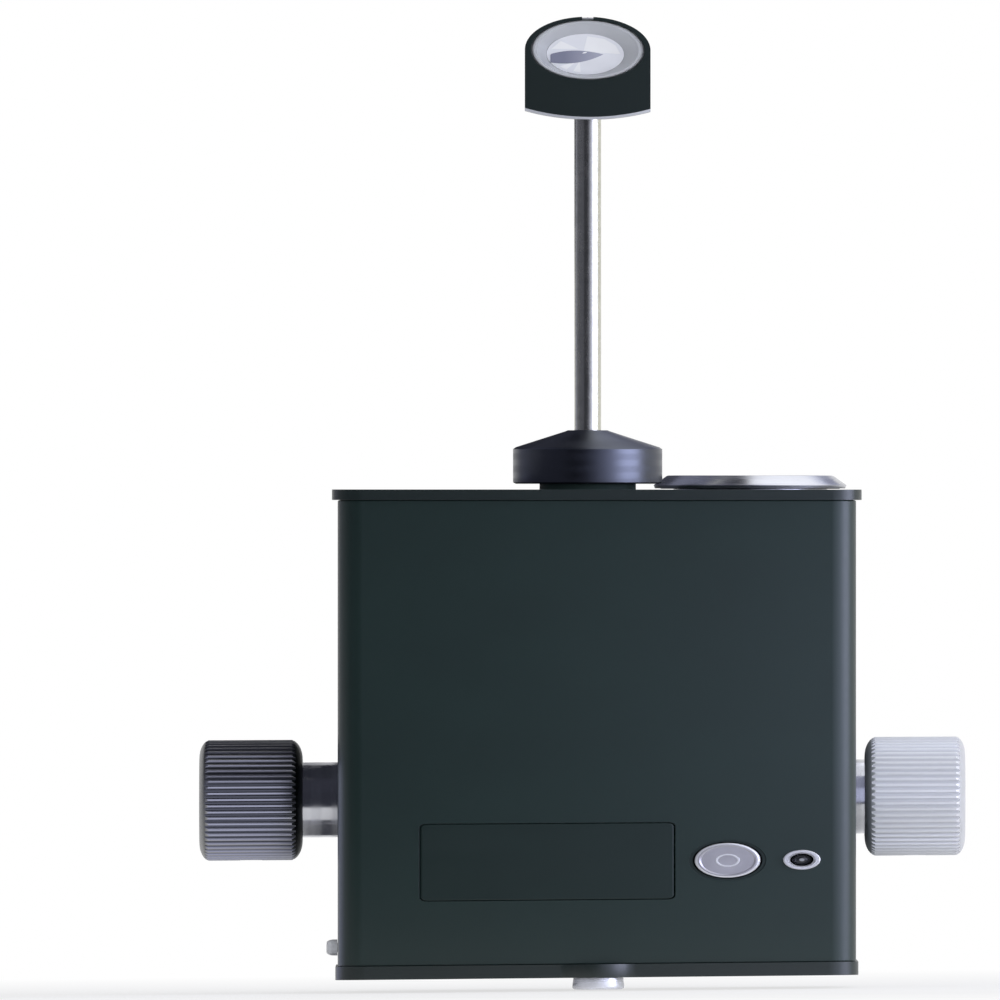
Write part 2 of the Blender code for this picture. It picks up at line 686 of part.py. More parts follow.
def build_plates():
    half = SIDE + PLATE_OVERHANG
    top = block(
        "top_plate",
        (-half, FRONT - PLATE_OVERHANG, PLATE_LOW), (half, BACK + PLATE_OVERHANG, PLATE_TOP),
        SATIN_BLACK, corner=CORNER_RADIUS + PLATE_OVERHANG, edge=PLATE_EDGE,
    )
    past = 5 * MM
    cut(
        top,
        drum("neck_hole", NECK_RADIUS + RUNNING, PLATE_LOW - past, PLATE_TOP + past, (ARM_X, ARM_Y, 0)),
        drum(
            "cap_ring_hole", RING_OUTER + RUNNING, PLATE_LOW - past, PLATE_TOP + past, (CAP_X, CAP_Y, 0),
            sides=SIDES_LARGE,
        ),
    )
    base = plate("base_plate", base_outline(), PIN_REACH, BASE_TOP, "Z", SATIN_BLACK)
    cut(base, drum("pin_hole", PIN_SHANK_RADIUS + RUNNING, PIN_REACH - past, BASE_TOP + past, (0, 0, 0)))
    for number, (x, y) in enumerate(BOSS_PLACES, 1):
        cut(top, screw_hole(f"top_screw_hole_{number}", (x, y, PLATE_TOP), True, SCREW_LENGTH))
        cut(base, screw_hole(f"base_screw_hole_{number}", (x, y, PIN_REACH), False, SCREW_LENGTH))
        screw(f"top_screw_{number}", (x, y, PLATE_TOP), True, SCREW_LENGTH)
        screw(f"base_screw_{number}", (x, y, PIN_REACH), False, SCREW_LENGTH)
    length = BASE_THICKNESS + CHASSIS_FLOOR
    for number, (x, y) in enumerate(chassis_screw_places(), 1):
        cut(base, screw_hole(f"chassis_screw_hole_{number}", (x, y, PIN_REACH), False, SCREW_LENGTH))
        screw(f"chassis_screw_{number}", (x, y, PIN_REACH), False, length)


def build_mounting_pin():
    shoulder = PIN_REACH - SEAM
    turned(
        "mounting_pin",
        [
            (0, BASE_TOP - SEAM),
            (PIN_SHANK_RADIUS, BASE_TOP - SEAM),
            (PIN_SHANK_RADIUS, shoulder),
            (PIN_RADIUS, shoulder),
            (PIN_RADIUS, PIN_EDGE),
            (PIN_RADIUS - 0.3 * PIN_EDGE, 0.3 * PIN_EDGE),
            (PIN_RADIUS - PIN_EDGE, 0),
            (0, 0),
        ],
        (0, 0, 0), finish=POLISHED_STEEL, sides=SIDES_LARGE,
    )


def build_side_stud():
    seat = SEAM
    turned(
        "side_stud",
        [
            (0, STUD_REACH),
            (0.75 * STUD_RADIUS, STUD_REACH),
            (STUD_RADIUS, 0.7 * STUD_REACH),
            (STUD_RADIUS, seat),
            (STUD_SHANK_RADIUS, seat),
            (STUD_SHANK_RADIUS, -WALL - seat),
            (0, -WALL - seat),
        ],
        (-SIDE, FRONT + STUD_DEPTH, BASE_TOP + STUD_HEIGHT), finish=PALE_PLASTIC, sides=SIDES_SMALL,
    ).rotation_euler = (0, -math.pi / 2, 0)


def fluted(name, side, inner_x, finish):
    """A knob with flutes along it. Its inner face is chamfered and its outer face rounded."""
    shape = bmesh.new()
    count = 2 * KNOB_FLUTES
    bmesh.ops.create_circle(shape, cap_ends=True, segments=count, radius=KNOB_RADIUS)
    valley = (KNOB_RADIUS - FLUTE_DEPTH) / KNOB_RADIUS
    for vert in shape.verts:
        turn = round(math.atan2(vert.co.y, vert.co.x) / (2 * math.pi) * count)
        if turn % 2:
            vert.co *= valley
    stations = [
        (0, KNOB_RADIUS - KNOB_CHAMFER),
        (KNOB_CHAMFER, KNOB_RADIUS),
        (KNOB_LENGTH - KNOB_ROUND, KNOB_RADIUS),
        (KNOB_LENGTH - 0.3 * KNOB_ROUND, KNOB_RADIUS - 0.3 * KNOB_ROUND),
        (KNOB_LENGTH, KNOB_RADIUS - KNOB_ROUND),
    ]
    level, size = stations[0]
    scale = size / KNOB_RADIUS
    bmesh.ops.scale(shape, vec=(scale, scale, 1), verts=shape.verts)
    shape.faces.ensure_lookup_table()
    face = shape.faces[0]
    for next_level, next_size in stations[1:]:
        made = bmesh.ops.extrude_face_region(shape, geom=[face])
        verts = [item for item in made["geom"] if isinstance(item, bmesh.types.BMVert)]
        scale = next_size / size
        bmesh.ops.translate(shape, vec=(0, 0, next_level - level), verts=verts)
        bmesh.ops.scale(shape, vec=(scale, scale, 1), verts=verts)
        if level:
            bmesh.ops.delete(shape, geom=[face], context="FACES_ONLY")
        face = next(item for item in made["geom"] if isinstance(item, bmesh.types.BMFace))
        level, size = next_level, next_size
    bmesh.ops.recalc_face_normals(shape, faces=shape.faces)
    knob = from_bmesh(name, shape, finish)
    knob.location = (inner_x, SHAFT_Y, SHAFT_Z)
    knob.rotation_euler = (0, side * math.pi / 2, 0)
    return knob


def build_knobs():
    axis = joint_axis("knob_axis", SHAFT_AXIS)
    ends = []
    for side, name, stand_off, finish in (
        (-1, "left", LEFT_STAND_OFF, BLACK_ANODISED),
        (1, "right", RIGHT_STAND_OFF, SILVER_ANODISED),
    ):
        inner_x = side * (SIDE + stand_off)
        end_x = inner_x + side * (KNOB_BORE_DEPTH - SEAM)
        ends.append(end_x)
        knob = fluted(f"{name}_knob", side, inner_x, finish)
        low, high = sorted((-side * 1 * MM, side * KNOB_BORE_DEPTH))
        bore_at = (inner_x, SHAFT_Y, SHAFT_Z)
        grub_x = inner_x + side * KNOB_LENGTH / 2
        grub_at = (grub_x, SHAFT_Y, SHAFT_Z)
        cut(
            knob,
            drum(f"{name}_knob_bore", SHAFT_RADIUS + RUNNING, low, high, bore_at, "X"),
            drum(
                f"{name}_grub_hole", GRUB_RADIUS + RUNNING, -KNOB_RADIUS - 1 * MM, -SHAFT_RADIUS / 2, grub_at,
                sides=SIDES_SMALL,
            ),
        )
        grub = drum(
            f"{name}_grub_screw", GRUB_RADIUS, -KNOB_RADIUS + GRUB_SINK, -SHAFT_RADIUS - SEAM, grub_at,
            finish=ZINC_STEEL, sides=SIDES_SMALL,
        )
        carry(axis, knob, grub)
        sleeve = stand_off - SEAM
        profile = [
            (BUSH_RADIUS, sleeve),
            (BUSH_RADIUS, SEAM),
            (BUSH_SPIGOT_RADIUS, SEAM),
            (BUSH_SPIGOT_RADIUS, -WALL),
            (SHAFT_RADIUS + RUNNING, -WALL),
            (SHAFT_RADIUS + RUNNING, sleeve),
        ]
        bush_at = (side * SIDE, SHAFT_Y, SHAFT_Z)
        bush = turned(f"{name}_bush", profile, bush_at, finish=POLISHED_STEEL, ring=True)
        bush.rotation_euler = (0, side * math.pi / 2, 0)
    shaft = drum("knob_shaft", SHAFT_RADIUS, ends[0], ends[1], (0, SHAFT_Y, SHAFT_Z), "X", POLISHED_STEEL)
    carry(axis, shaft, build_cam(), build_encoder_disc())


def cam_radius(angle):
    """The cam's radius at an angle from the plunger: it rises over the knob's turn, then drops back."""
    if angle <= KNOB_TURN:
        return CAM_RADIUS + CAM_RISE * angle / KNOB_TURN
    fall = min((angle - KNOB_TURN) / CAM_DROP, 1)
    return CAM_RADIUS + CAM_RISE * (1 - fall)


def build_cam():
    steps = 72
    outline = []
    for i in range(steps):
        angle = 2 * math.pi * i / steps
        radius = cam_radius(angle)
        facing = math.pi - angle
        outline.append((SHAFT_Y + radius * math.cos(facing), SHAFT_Z + radius * math.sin(facing)))
    low = ARM_X - CAM_THICKNESS / 2
    cam = plate("force_cam", outline, low, low + CAM_THICKNESS, "X", TURNED_ALUMINIUM)
    reach = CAM_THICKNESS
    cut(cam, drum("cam_bore", SHAFT_RADIUS + RUNNING, -reach, reach, (ARM_X, SHAFT_Y, SHAFT_Z), "X"))
    return cam


def build_encoder_disc():
    half = DISC_THICKNESS / 2
    profile = [
        (DISC_RADIUS, half),
        (DISC_RADIUS, -half),
        (DISC_HUB_RADIUS, -half),
        (DISC_HUB_RADIUS, -half - DISC_HUB),
        (SHAFT_RADIUS + RUNNING, -half - DISC_HUB),
        (SHAFT_RADIUS + RUNNING, half),
    ]
    return turned("encoder_disc", profile, (DISC_X, SHAFT_Y, SHAFT_Z), "X", BLACK_PLASTIC, ring=True)


def build_encoder_sensor():
    top = SHAFT_Z - DISC_RADIUS + SENSOR_OVERLAP
    low = top - SENSOR_OVERLAP - SENSOR_BASE - SEAM
    sensor = block(
        "encoder_sensor",
        (DISC_X - SENSOR_WIDTH / 2, SHAFT_Y - SENSOR_DEPTH / 2, low),
        (DISC_X + SENSOR_WIDTH / 2, SHAFT_Y + SENSOR_DEPTH / 2, top),
        BLACK_PLASTIC,
    )
    slot = block(
        "sensor_slot",
        (DISC_X - SENSOR_SLOT / 2, SHAFT_Y - SENSOR_DEPTH, low + SENSOR_BASE),
        (DISC_X + SENSOR_SLOT / 2, SHAFT_Y + SENSOR_DEPTH, top + 1 * MM),
    )
    cut(sensor, slot)
    return low


def build_plunger():
    axis = joint_axis("plunger_axis", (ARM_X, PLUNGER_FRONT, SHAFT_Z))
    tip = PLUNGER_TIP - PLUNGER_FRONT
    profile = [
        (0, tip),
        (0.5 * PLUNGER_RADIUS, tip),
        (PLUNGER_RADIUS, tip - 0.4 * PLUNGER_RADIUS),
        (PLUNGER_RADIUS, PLUNGER_FLANGE),
        (PLUNGER_FLANGE_RADIUS, PLUNGER_FLANGE),
        (PLUNGER_FLANGE_RADIUS, 0),
        (0, 0),
    ]
    at = (ARM_X, PLUNGER_FRONT, SHAFT_Z)
    plunger = turned("force_plunger", profile, at, "Y", POLISHED_STEEL)
    spring = coil(
        "force_spring", SPRING_RADIUS, SPRING_WIRE, SPRING_TURNS, SPRING_FRONT - PLUNGER_FRONT,
        SPRING_BACK - PLUNGER_FRONT, at, "Y", ZINC_STEEL,
    )
    carry(axis, plunger, spring)


def lever_tail():
    """The tail's front and back edges, each from its upper to its lower end, as (y, z)."""
    bend = SHAFT_Z + TAIL_STRAIGHT
    front = (Vector((ARM_Y - HUB_RADIUS + 1 * MM, PIVOT_Z - 2 * MM)), Vector((TAIL_FRONT, bend)))
    back = (Vector((ARM_Y - 1 * MM, PIVOT_Z - HUB_RADIUS)), Vector((TAIL_BACK, bend)))
    return front, back


def stop_place(edge, side):
    """A stop pin's axis beside the middle of a tail edge, clear of it until the lever's tilt is used up."""
    middle = (edge[0] + edge[1]) / 2
    along = (edge[1] - edge[0]).normalized()
    outward = Vector((along.y, -along.x))
    if outward.x * side < 0:
        outward = -outward
    arm = middle - Vector((ARM_Y, PIVOT_Z))
    swing = abs(Vector((-arm.y, arm.x)).dot(outward)) * ARM_TILT
    return middle + outward * (STOP_RADIUS + swing + STOP_ROOM)


def build_lever():
    front, back = lever_tail()
    outline = [
        (ARM_Y - LEVER_HALF, SOCKET_TOP),
        (ARM_Y - LEVER_HALF, PIVOT_Z + 1 * MM),
        front[0],
        front[1],
        (TAIL_FRONT, TAIL_LOW),
        (TAIL_BACK, TAIL_LOW),
        back[1],
        back[0],
        (WEIGHT_Y - LEVER_HALF, BRANCH_LOW),
        (WEIGHT_Y + LEVER_HALF, BRANCH_LOW),
        (WEIGHT_Y + LEVER_HALF, BRANCH_LOW + 6 * MM),
        (ARM_Y + LEVER_HALF, PIVOT_Z + 4 * MM),
        (ARM_Y + LEVER_HALF, SOCKET_TOP),
    ]
    low = ARM_X - LEVER_WIDTH / 2
    lever = plate("balance_lever", outline, low, low + LEVER_WIDTH, "X", TURNED_ALUMINIUM)
    half = HUB_WIDTH / 2
    inner = half - BEARING_WIDTH - SEAM
    past = 2 * MM
    join(lever, drum("lever_hub", HUB_RADIUS, -half, half, PIVOT, "X"))
    cut(
        lever,
        drum("lever_bore", AXLE_RADIUS + 4 * RUNNING, -half - past, half + past, PIVOT, "X"),
        drum("left_bearing_seat", BEARING_RADIUS + RUNNING, -half - past, -inner, PIVOT, "X"),
        drum("right_bearing_seat", BEARING_RADIUS + RUNNING, inner, half + past, PIVOT, "X"),
        drum(
            "rod_socket", ROD_RADIUS + RUNNING, ROD_SEAT - SEAM + PIVOT_Z, SOCKET_TOP + past,
            (ARM_X, ARM_Y, 0), sides=SIDES_SMALL,
        ),
        drum(
            "weight_thread", SCREW_RADIUS + RUNNING, BRANCH_LOW - past, BRANCH_LOW + WEIGHT_THREAD + 2 * SEAM,
            (ARM_X, WEIGHT_Y, 0), sides=SIDES_SMALL,
        ),
    )
    pieces = [lever]
    for side, name in ((-1, "left"), (1, "right")):
        low, high = sorted((side * half, side * (half - BEARING_WIDTH)))
        bore = AXLE_RADIUS + RUNNING
        bearing = tube(f"{name}_arm_bearing", BEARING_RADIUS, bore, low, high, PIVOT, "X", POLISHED_STEEL)
        pieces.append(bearing)
    top = BRANCH_LOW - SEAM
    low = top - WEIGHT_HEIGHT
    at = (ARM_X, WEIGHT_Y, 0)
    pieces.append(tube("counterweight", WEIGHT_RADIUS, SCREW_RADIUS + RUNNING, low, top, at, finish=BRASS))
    head = low - SEAM
    length = WEIGHT_HEIGHT + 2 * SEAM + WEIGHT_THREAD
    profile = [
        (0, length),
        (SCREW_RADIUS, length),
        (SCREW_RADIUS, 0),
        (SCREW_HEAD_RADIUS, 0),
        (SCREW_HEAD_RADIUS, -SCREW_HEAD_HEIGHT),
        (0, -SCREW_HEAD_HEIGHT),
    ]
    at = (ARM_X, WEIGHT_Y, head)
    pieces.append(turned("counterweight_screw", profile, at, finish=ZINC_STEEL, sides=SIDES_SMALL))
    return pieces


def build_rod_and_collar():
    at = (ARM_X, ARM_Y, 0)
    rod_top = holder_belly_low() + ROD_IN_HOLDER
    rod = drum("measuring_rod", ROD_RADIUS, PIVOT_Z + ROD_SEAT, rod_top, at, finish=POLISHED_STEEL)
    low = PLATE_TOP + COLLAR_GAP
    shoulder = low + COLLAR_HEIGHT
    bore = ROD_RADIUS + RUNNING
    cavity = COLLAR_RADIUS - COLLAR_WALL
    profile = [
        (COLLAR_TOP_RADIUS, shoulder + COLLAR_CONE),
        (COLLAR_RADIUS, shoulder),
        (COLLAR_RADIUS, low),
        (cavity, low),
        (cavity, low + COLLAR_CAVITY),
        (bore, low + COLLAR_CAVITY),
        (bore, shoulder + COLLAR_CONE),
    ]
    collar = turned("dust_collar", profile, at, finish=BLACK_ANODISED, ring=True, sides=SIDES_LARGE)
    return [rod, collar]


def holder_belly_low():
    """The lowest point of the holder's belly, an arc through its two lower corners."""
    corner = PRISM_AXIS.z - HOLDER_SIDE_DROP
    return corner - HOLDER_BELLY_RADIUS + math.sqrt(HOLDER_BELLY_RADIUS**2 - HOLDER_HALF_WIDTH**2)


def build_prism_holder():
    belly = holder_belly_low()
    belly_centre = (ARM_X, belly + HOLDER_BELLY_RADIUS)
    spread = math.asin(HOLDER_HALF_WIDTH / HOLDER_BELLY_RADIUS)
    down = -math.pi / 2
    outline = arc((PRISM_AXIS.x, PRISM_AXIS.z), HOLDER_HALF_WIDTH, 0, math.pi, 24)
    outline += arc(belly_centre, HOLDER_BELLY_RADIUS, down - spread, down + spread, 8)
    front = ARM_Y - HOLDER_DEPTH / 2
    holder = plate("prism_holder", outline, front, front + HOLDER_DEPTH, "Y", SATIN_BLACK)
    past = 2 * MM
    top = PRISM_AXIS.z + HOLDER_HALF_WIDTH
    bore = PRISM_RADIUS + RUNNING
    cut(
        holder,
        drum("prism_bore", bore, -HOLDER_DEPTH, HOLDER_DEPTH, PRISM_AXIS, "Y", sides=SIDES_LARGE),
        block(
            "index_notch",
            (ARM_X - NOTCH_WIDTH / 2, front - past, top - NOTCH_DEPTH),
            (ARM_X + NOTCH_WIDTH / 2, front + HOLDER_DEPTH + past, top + past),
        ),
        drum(
            "holder_rod_hole", ROD_RADIUS + RUNNING, belly - past, belly + ROD_IN_HOLDER + SEAM,
            (ARM_X, ARM_Y, 0), sides=SIDES_SMALL,
        ),
    )
    return holder


def build_prism():
    axis = joint_axis("prism_axis", PRISM_AXIS)
    half = HOLDER_DEPTH / 2
    face = -half + PRISM_RECESS
    rim = half + SEAM
    cone = rim + PRISM_RIM
    profile = [
        (0, cone + PRISM_CONE),
        (PRISM_FACE_RADIUS, cone + PRISM_CONE),
        (PRISM_RADIUS - 0.6 * MM, cone),
        (PRISM_RIM_RADIUS, cone),
        (PRISM_RIM_RADIUS, rim),
        (PRISM_RADIUS, rim),
        (PRISM_RADIUS, face),
        (PRISM_LENS_RADIUS, face),
        (PRISM_LENS_RADIUS - 0.3 * MM, face + PRISM_LENS_DEPTH),
        (0, face + PRISM_LENS_DEPTH),
    ]
    carry(axis, turned("prism", profile, PRISM_AXIS, "Y", CLEAR_ACRYLIC, sides=SIDES_LARGE))


def build_arm():
    axis = joint_axis("arm_axis", PIVOT)
    carry(axis, *build_lever(), *build_rod_and_collar(), build_prism_holder())


def build_neck_ring():
    low = PLATE_LOW - SEAM
    inner = NECK_RADIUS - NECK_WALL
    profile = [
        (NECK_RADIUS, PLATE_TOP + NECK_RISE),
        (NECK_RADIUS, low),
        (NECK_RADIUS + NECK_FLANGE, low),
        (NECK_RADIUS + NECK_FLANGE, low - NECK_FLANGE),
        (inner, low - NECK_FLANGE),
        (inner, PLATE_TOP + NECK_RISE),
    ]
    turned("neck_ring", profile, (ARM_X, ARM_Y, 0), finish=BLACK_ANODISED, ring=True)


def cheek_outline():
    """A chassis cheek's side view as (y, z): a broad foot, and a head around the stops and the pivot."""
    stop = stop_place(lever_tail()[0], -1)
    stop_side = stop.x - STOP_RADIUS - CHEEK_STOP_MARGIN
    floor = HOUSING_LOW + CHASSIS_FLOOR / 2
    return [
        (CHASSIS_FRONT, floor),
        (CHASSIS_BACK, floor),
        (CHASSIS_BACK, SHAFT_Z - CHEEK_HEEL_DROP),
        (SHAFT_Y + CHEEK_SHAFT_MARGIN, SHAFT_Z + CHEEK_SHAFT_RISE),
        (ARM_Y + HUB_RADIUS, PIVOT_Z - CHEEK_NECK_DROP),
        (ARM_Y + HUB_RADIUS, PIVOT_Z + CHEEK_TOP),
        (ARM_Y - HUB_RADIUS + 1 * MM, PIVOT_Z + CHEEK_TOP),
        (stop_side, stop.y + CHEEK_STOP_SPAN),
        (stop_side, stop.y - CHEEK_STOP_SPAN),
        (CHASSIS_FRONT, SHAFT_Z + CHEEK_FOOT_RISE),
    ]


def build_chassis(sensor_low):
    chassis = block(
        "chassis",
        (-CHASSIS_LEFT, CHASSIS_FRONT, HOUSING_LOW),
        (CHASSIS_RIGHT, CHASSIS_BACK, HOUSING_LOW + CHASSIS_FLOOR),
        TURNED_ALUMINIUM,
    )
    outline = cheek_outline()
    lap = 1 * MM
    for side, name in ((-1, "left"), (1, "right")):
        low = ARM_X + side * CHEEK_SPACING / 2 - CHEEK_THICKNESS / 2
        join(chassis, plate(f"{name}_cheek", outline, low, low + CHEEK_THICKNESS, "X"))
    reach = CHEEK_SPACING / 2
    join(
        chassis,
        block(
            "plunger_guide",
            (ARM_X - reach, GUIDE_FRONT, SHAFT_Z - GUIDE_HEIGHT / 2),
            (ARM_X + reach, GUIDE_BACK, SHAFT_Z + GUIDE_HEIGHT / 2),
        ),
        block(
            "sensor_post",
            (DISC_X - SENSOR_WIDTH / 2, SHAFT_Y - SENSOR_DEPTH / 2, HOUSING_LOW + CHASSIS_FLOOR - lap),
            (DISC_X + SENSOR_WIDTH / 2, SHAFT_Y + SENSOR_DEPTH / 2, sensor_low - SEAM),
        ),
    )
    wide = CHEEK_SPACING
    front, back = lever_tail()
    stops = {"front_stop": stop_place(front, -1), "rear_stop": stop_place(back, 1)}
    shaft_at = (ARM_X, SHAFT_Y, SHAFT_Z)
    plunger_at = (ARM_X, GUIDE_FRONT, SHAFT_Z)
    cut(
        chassis,
        drum("chassis_shaft_hole", SHAFT_RADIUS + SHAFT_HOLE_ROOM, -wide, wide, shaft_at, "X"),
        drum("chassis_axle_hole", AXLE_RADIUS + RUNNING, -wide, wide, PIVOT, "X"),
        drum("plunger_bore", PLUNGER_RADIUS + RUNNING, -lap, GUIDE_THICKNESS + lap, plunger_at, "Y"),
    )
    end = CHEEK_SPACING / 2 + CHEEK_THICKNESS / 2
    for name, stop in stops.items():
        at = (ARM_X, stop.x, stop.y)
        cut(chassis, drum(f"{name}_hole", STOP_RADIUS + RUNNING, -wide, wide, at, "X", sides=SIDES_SMALL))
        drum(f"{name}_pin", STOP_RADIUS, -end, end, at, "X", ZINC_STEEL, sides=SIDES_SMALL)
    for number, (x, y) in enumerate(chassis_screw_places(), 1):
        cut(
            chassis,
            drum(
                f"chassis_thread_{number}", SCREW_RADIUS + RUNNING, HOUSING_LOW - lap,
                HOUSING_LOW + CHASSIS_FLOOR + lap, (x, y, 0), sides=SIDES_SMALL,
            ),
        )
    drum("arm_axle", AXLE_RADIUS, -end, end, PIVOT, "X", POLISHED_STEEL)


def board_screw_places():
    """Left and right of the display, as (x, z)."""
    return [(side * (BOARD_SIDE - BOARD_SCREW_INSET), BOARD_BOTTOM + BOARD_SCREW_RISE) for side in (-1, 1)]


def build_board():
    low, high = (-BOARD_SIDE, BOARD_FRONT, BOARD_BOTTOM), (BOARD_SIDE, BOARD_BACK, BOARD_TOP)
    board = block("circuit_board", low, high, GREEN_BOARD)
    past = 2 * MM
    for number, (x, z) in enumerate(board_screw_places(), 1):
        at = (x, BOARD_BACK, z)
        bore = BOARD_SCREW_RADIUS + RUNNING
        cut(
            board,
            drum(f"board_hole_{number}", bore, -BOARD_THICKNESS - past, past, at, "Y", sides=SIDES_SMALL),
        )
        end = -BOARD_THICKNESS - BOARD_DEPTH + BOARD_SCREW_ROOM
        profile = [
            (0, SEAM + BOARD_SCREW_TOP),
            (0.7 * BOARD_SCREW_HEAD, SEAM + BOARD_SCREW_TOP),
            (BOARD_SCREW_HEAD, SEAM + 0.5 * BOARD_SCREW_TOP),
            (BOARD_SCREW_HEAD, SEAM),
            (BOARD_SCREW_RADIUS, SEAM),
            (BOARD_SCREW_RADIUS, end),
            (0, end),
        ]
        turned(f"board_screw_{number}", profile, at, "Y", ZINC_STEEL, sides=SIDES_SMALL)
    module_back = BOARD_FRONT - SEAM
    window_box(WINDOW_LEDGE + SEAM, module_back - MODULE_DEPTH, module_back, "display_module", BLACK_PLASTIC)
    pane_front = FRONT + WINDOW_SINK
    window_box(WINDOW_GROOVE, pane_front, pane_front + PANE_THICKNESS, "display_window", SMOKED_ACRYLIC)


def build_button():
    at = (BUTTON_X, INNER_FRONT, CONTROL_Z)
    axis = joint_axis("button_axis", at)
    flange = SEAM + BUTTON_FLANGE
    switch_top = BOARD_DEPTH - SEAM - SWITCH_HEIGHT
    stem_end = switch_top - SEAM - BUTTON_TRAVEL
    face = -WALL - BUTTON_PROUD
    bevel = 0.25 * MM
    profile = [
        (0, stem_end),
        (BUTTON_STEM_RADIUS, stem_end),
        (BUTTON_STEM_RADIUS, flange),
        (BUTTON_FLANGE_RADIUS, flange),
        (BUTTON_FLANGE_RADIUS, SEAM),
        (BUTTON_RADIUS, SEAM),
        (BUTTON_RADIUS, face + bevel),
        (BUTTON_RADIUS - bevel, face),
        (0, face),
    ]
    button = turned("push_button", profile, at, "Y", TURNED_ALUMINIUM, sides=SIDES_LARGE)
    plunger_end = BOARD_DEPTH - SEAM - SWITCH_FLOOR - SEAM - BUTTON_TRAVEL
    plunger = drum(
        "switch_plunger", SWITCH_PLUNGER_RADIUS, stem_end + SEAM, plunger_end, at, "Y", BLACK_PLASTIC,
        sides=SIDES_SMALL,
    )
    carry(axis, button, plunger)
    half = SWITCH_SIZE / 2
    back = BOARD_FRONT - SEAM
    switch = block(
        "tact_switch",
        (BUTTON_X - half, back - SWITCH_HEIGHT, CONTROL_Z - half),
        (BUTTON_X + half, back, CONTROL_Z + half),
        BLACK_PLASTIC,
    )
    bore = SWITCH_PLUNGER_RADIUS + RUNNING
    floor = BOARD_DEPTH - SEAM - SWITCH_FLOOR
    cut(switch, drum("switch_bore", bore, switch_top - 1 * MM, floor, at, "Y", sides=SIDES_SMALL))


def build_indicator():
    at = (LED_X, FRONT, CONTROL_Z)
    inner = LED_RADIUS + RUNNING
    profile = [
        (BEZEL_BARREL, BEZEL_LENGTH),
        (BEZEL_BARREL, -SEAM),
        (BEZEL_RADIUS, -SEAM),
        (BEZEL_RADIUS - 0.1 * MM, -SEAM - BEZEL_FLANGE),
        (inner + 0.2 * MM, -SEAM - BEZEL_FLANGE),
        (inner, -SEAM),
        (inner, BEZEL_LENGTH),
    ]
    turned("indicator_bezel", profile, at, "Y", POLISHED_STEEL, ring=True)
    end = WALL + BOARD_DEPTH - SEAM
    dome = [(LED_RADIUS * math.sin(t), LED_RADIUS * (0.8 - 0.8 * math.cos(t))) for t in (1.571, 1.0, 0.5, 0)]
    profile = [(0, end), (LED_RADIUS, end)] + dome
    turned("indicator_led", profile, at, "Y", SMOKED_ACRYLIC, sides=SIDES_SMALL)


def build_battery():
    at = (CAP_X, CAP_Y, 0)
    inner = CELL_RADIUS + CELL_ROOM
    tube_low = TUBE_FLOOR_TOP - TUBE_FLOOR
    profile = [
        (TUBE_RADIUS, RING_LOW - SEAM),
        (TUBE_RADIUS, tube_low),
        (CELL_SPRING_RADIUS / 2, tube_low),
        (CELL_SPRING_RADIUS / 2, TUBE_FLOOR_TOP),
        (inner, TUBE_FLOOR_TOP),
        (inner, RING_LOW - SEAM),
    ]
    turned("battery_tube", profile, at, finish=BLACK_PLASTIC, ring=True, sides=SIDES_LARGE)
    profile = [
        (0, CELL_TOP + CELL_NUB),
        (CELL_NUB_RADIUS, CELL_TOP + CELL_NUB),
        (CELL_NUB_RADIUS, CELL_TOP),
        (CELL_RADIUS, CELL_TOP),
        (CELL_RADIUS, CELL_LOW),
        (0, CELL_LOW),
    ]
    turned("battery_cell", profile, at, finish=CELL_JACKET)
    coil(
        "cell_spring", CELL_SPRING_RADIUS, CELL_SPRING_WIRE, 2, TUBE_FLOOR_TOP + SEAM,
        TUBE_FLOOR_TOP + SEAM + CELL_SPRING_LENGTH, at, "Z", ZINC_STEEL,
    )
    tube(
        "cap_ring", RING_OUTER, RING_INNER, RING_LOW, PLATE_TOP, at, finish=TURNED_ALUMINIUM,
        sides=SIDES_LARGE,
    )


def build_battery_cap():
    at = (CAP_X, CAP_Y, 0)
    axis = joint_axis("cap_axis", (CAP_X, CAP_Y, CAP_LOW))
    rim = CAP_LOW + CAP_RIM
    top = rim + CAP_CHAMFER_HEIGHT
    skirt_inner = CAP_SKIRT_RADIUS - CAP_SKIRT_WALL
    skirt_low = CAP_LOW - CAP_SKIRT_LENGTH
    groove = CAP_LOW + SEAL_HEIGHT
    profile = [
        (0, top),
        (CAP_RADIUS - CAP_CHAMFER, top),
        (CAP_RADIUS, rim),
        (CAP_RADIUS, CAP_LOW),
        (SEAL_INNER + SEAL_WIDTH + RUNNING, CAP_LOW),
        (SEAL_INNER + SEAL_WIDTH + RUNNING, groove),
        (SEAL_INNER - RUNNING, groove),
        (SEAL_INNER - RUNNING, CAP_LOW),
        (CAP_SKIRT_RADIUS, CAP_LOW),
        (CAP_SKIRT_RADIUS, skirt_low),
        (skirt_inner, skirt_low),
        (skirt_inner, CAP_LOW),
        (0, CAP_LOW),
    ]
    cap = turned("battery_cap", profile, at, finish=POLISHED_STEEL, sides=SIDES_LARGE)
    seal_low = PLATE_TOP + RUNNING
    seal = tube(
        "cap_seal", SEAL_INNER + SEAL_WIDTH, SEAL_INNER, seal_low, groove - RUNNING, at, finish=BLACK_RUBBER,
        sides=SIDES_LARGE,
    )
    contact = drum(
        "cap_contact", CONTACT_RADIUS, CONTACT_LOW, CONTACT_LOW + CONTACT_THICKNESS, at, finish=BRASS
    )
    carry(axis, cap, seal, contact)


build_housing()
build_plates()
build_mounting_pin()
build_side_stud()
build_knobs()
build_plunger()
build_chassis(build_encoder_sensor())
build_arm()
build_neck_ring()
build_prism()
build_board()
build_button()
build_indicator()
build_battery()
build_battery_cap()
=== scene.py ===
"""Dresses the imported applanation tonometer: fine pieces over its frame, their finishes, light and camera."""

import math

import bmesh
import bpy
from mathutils import Matrix, Vector


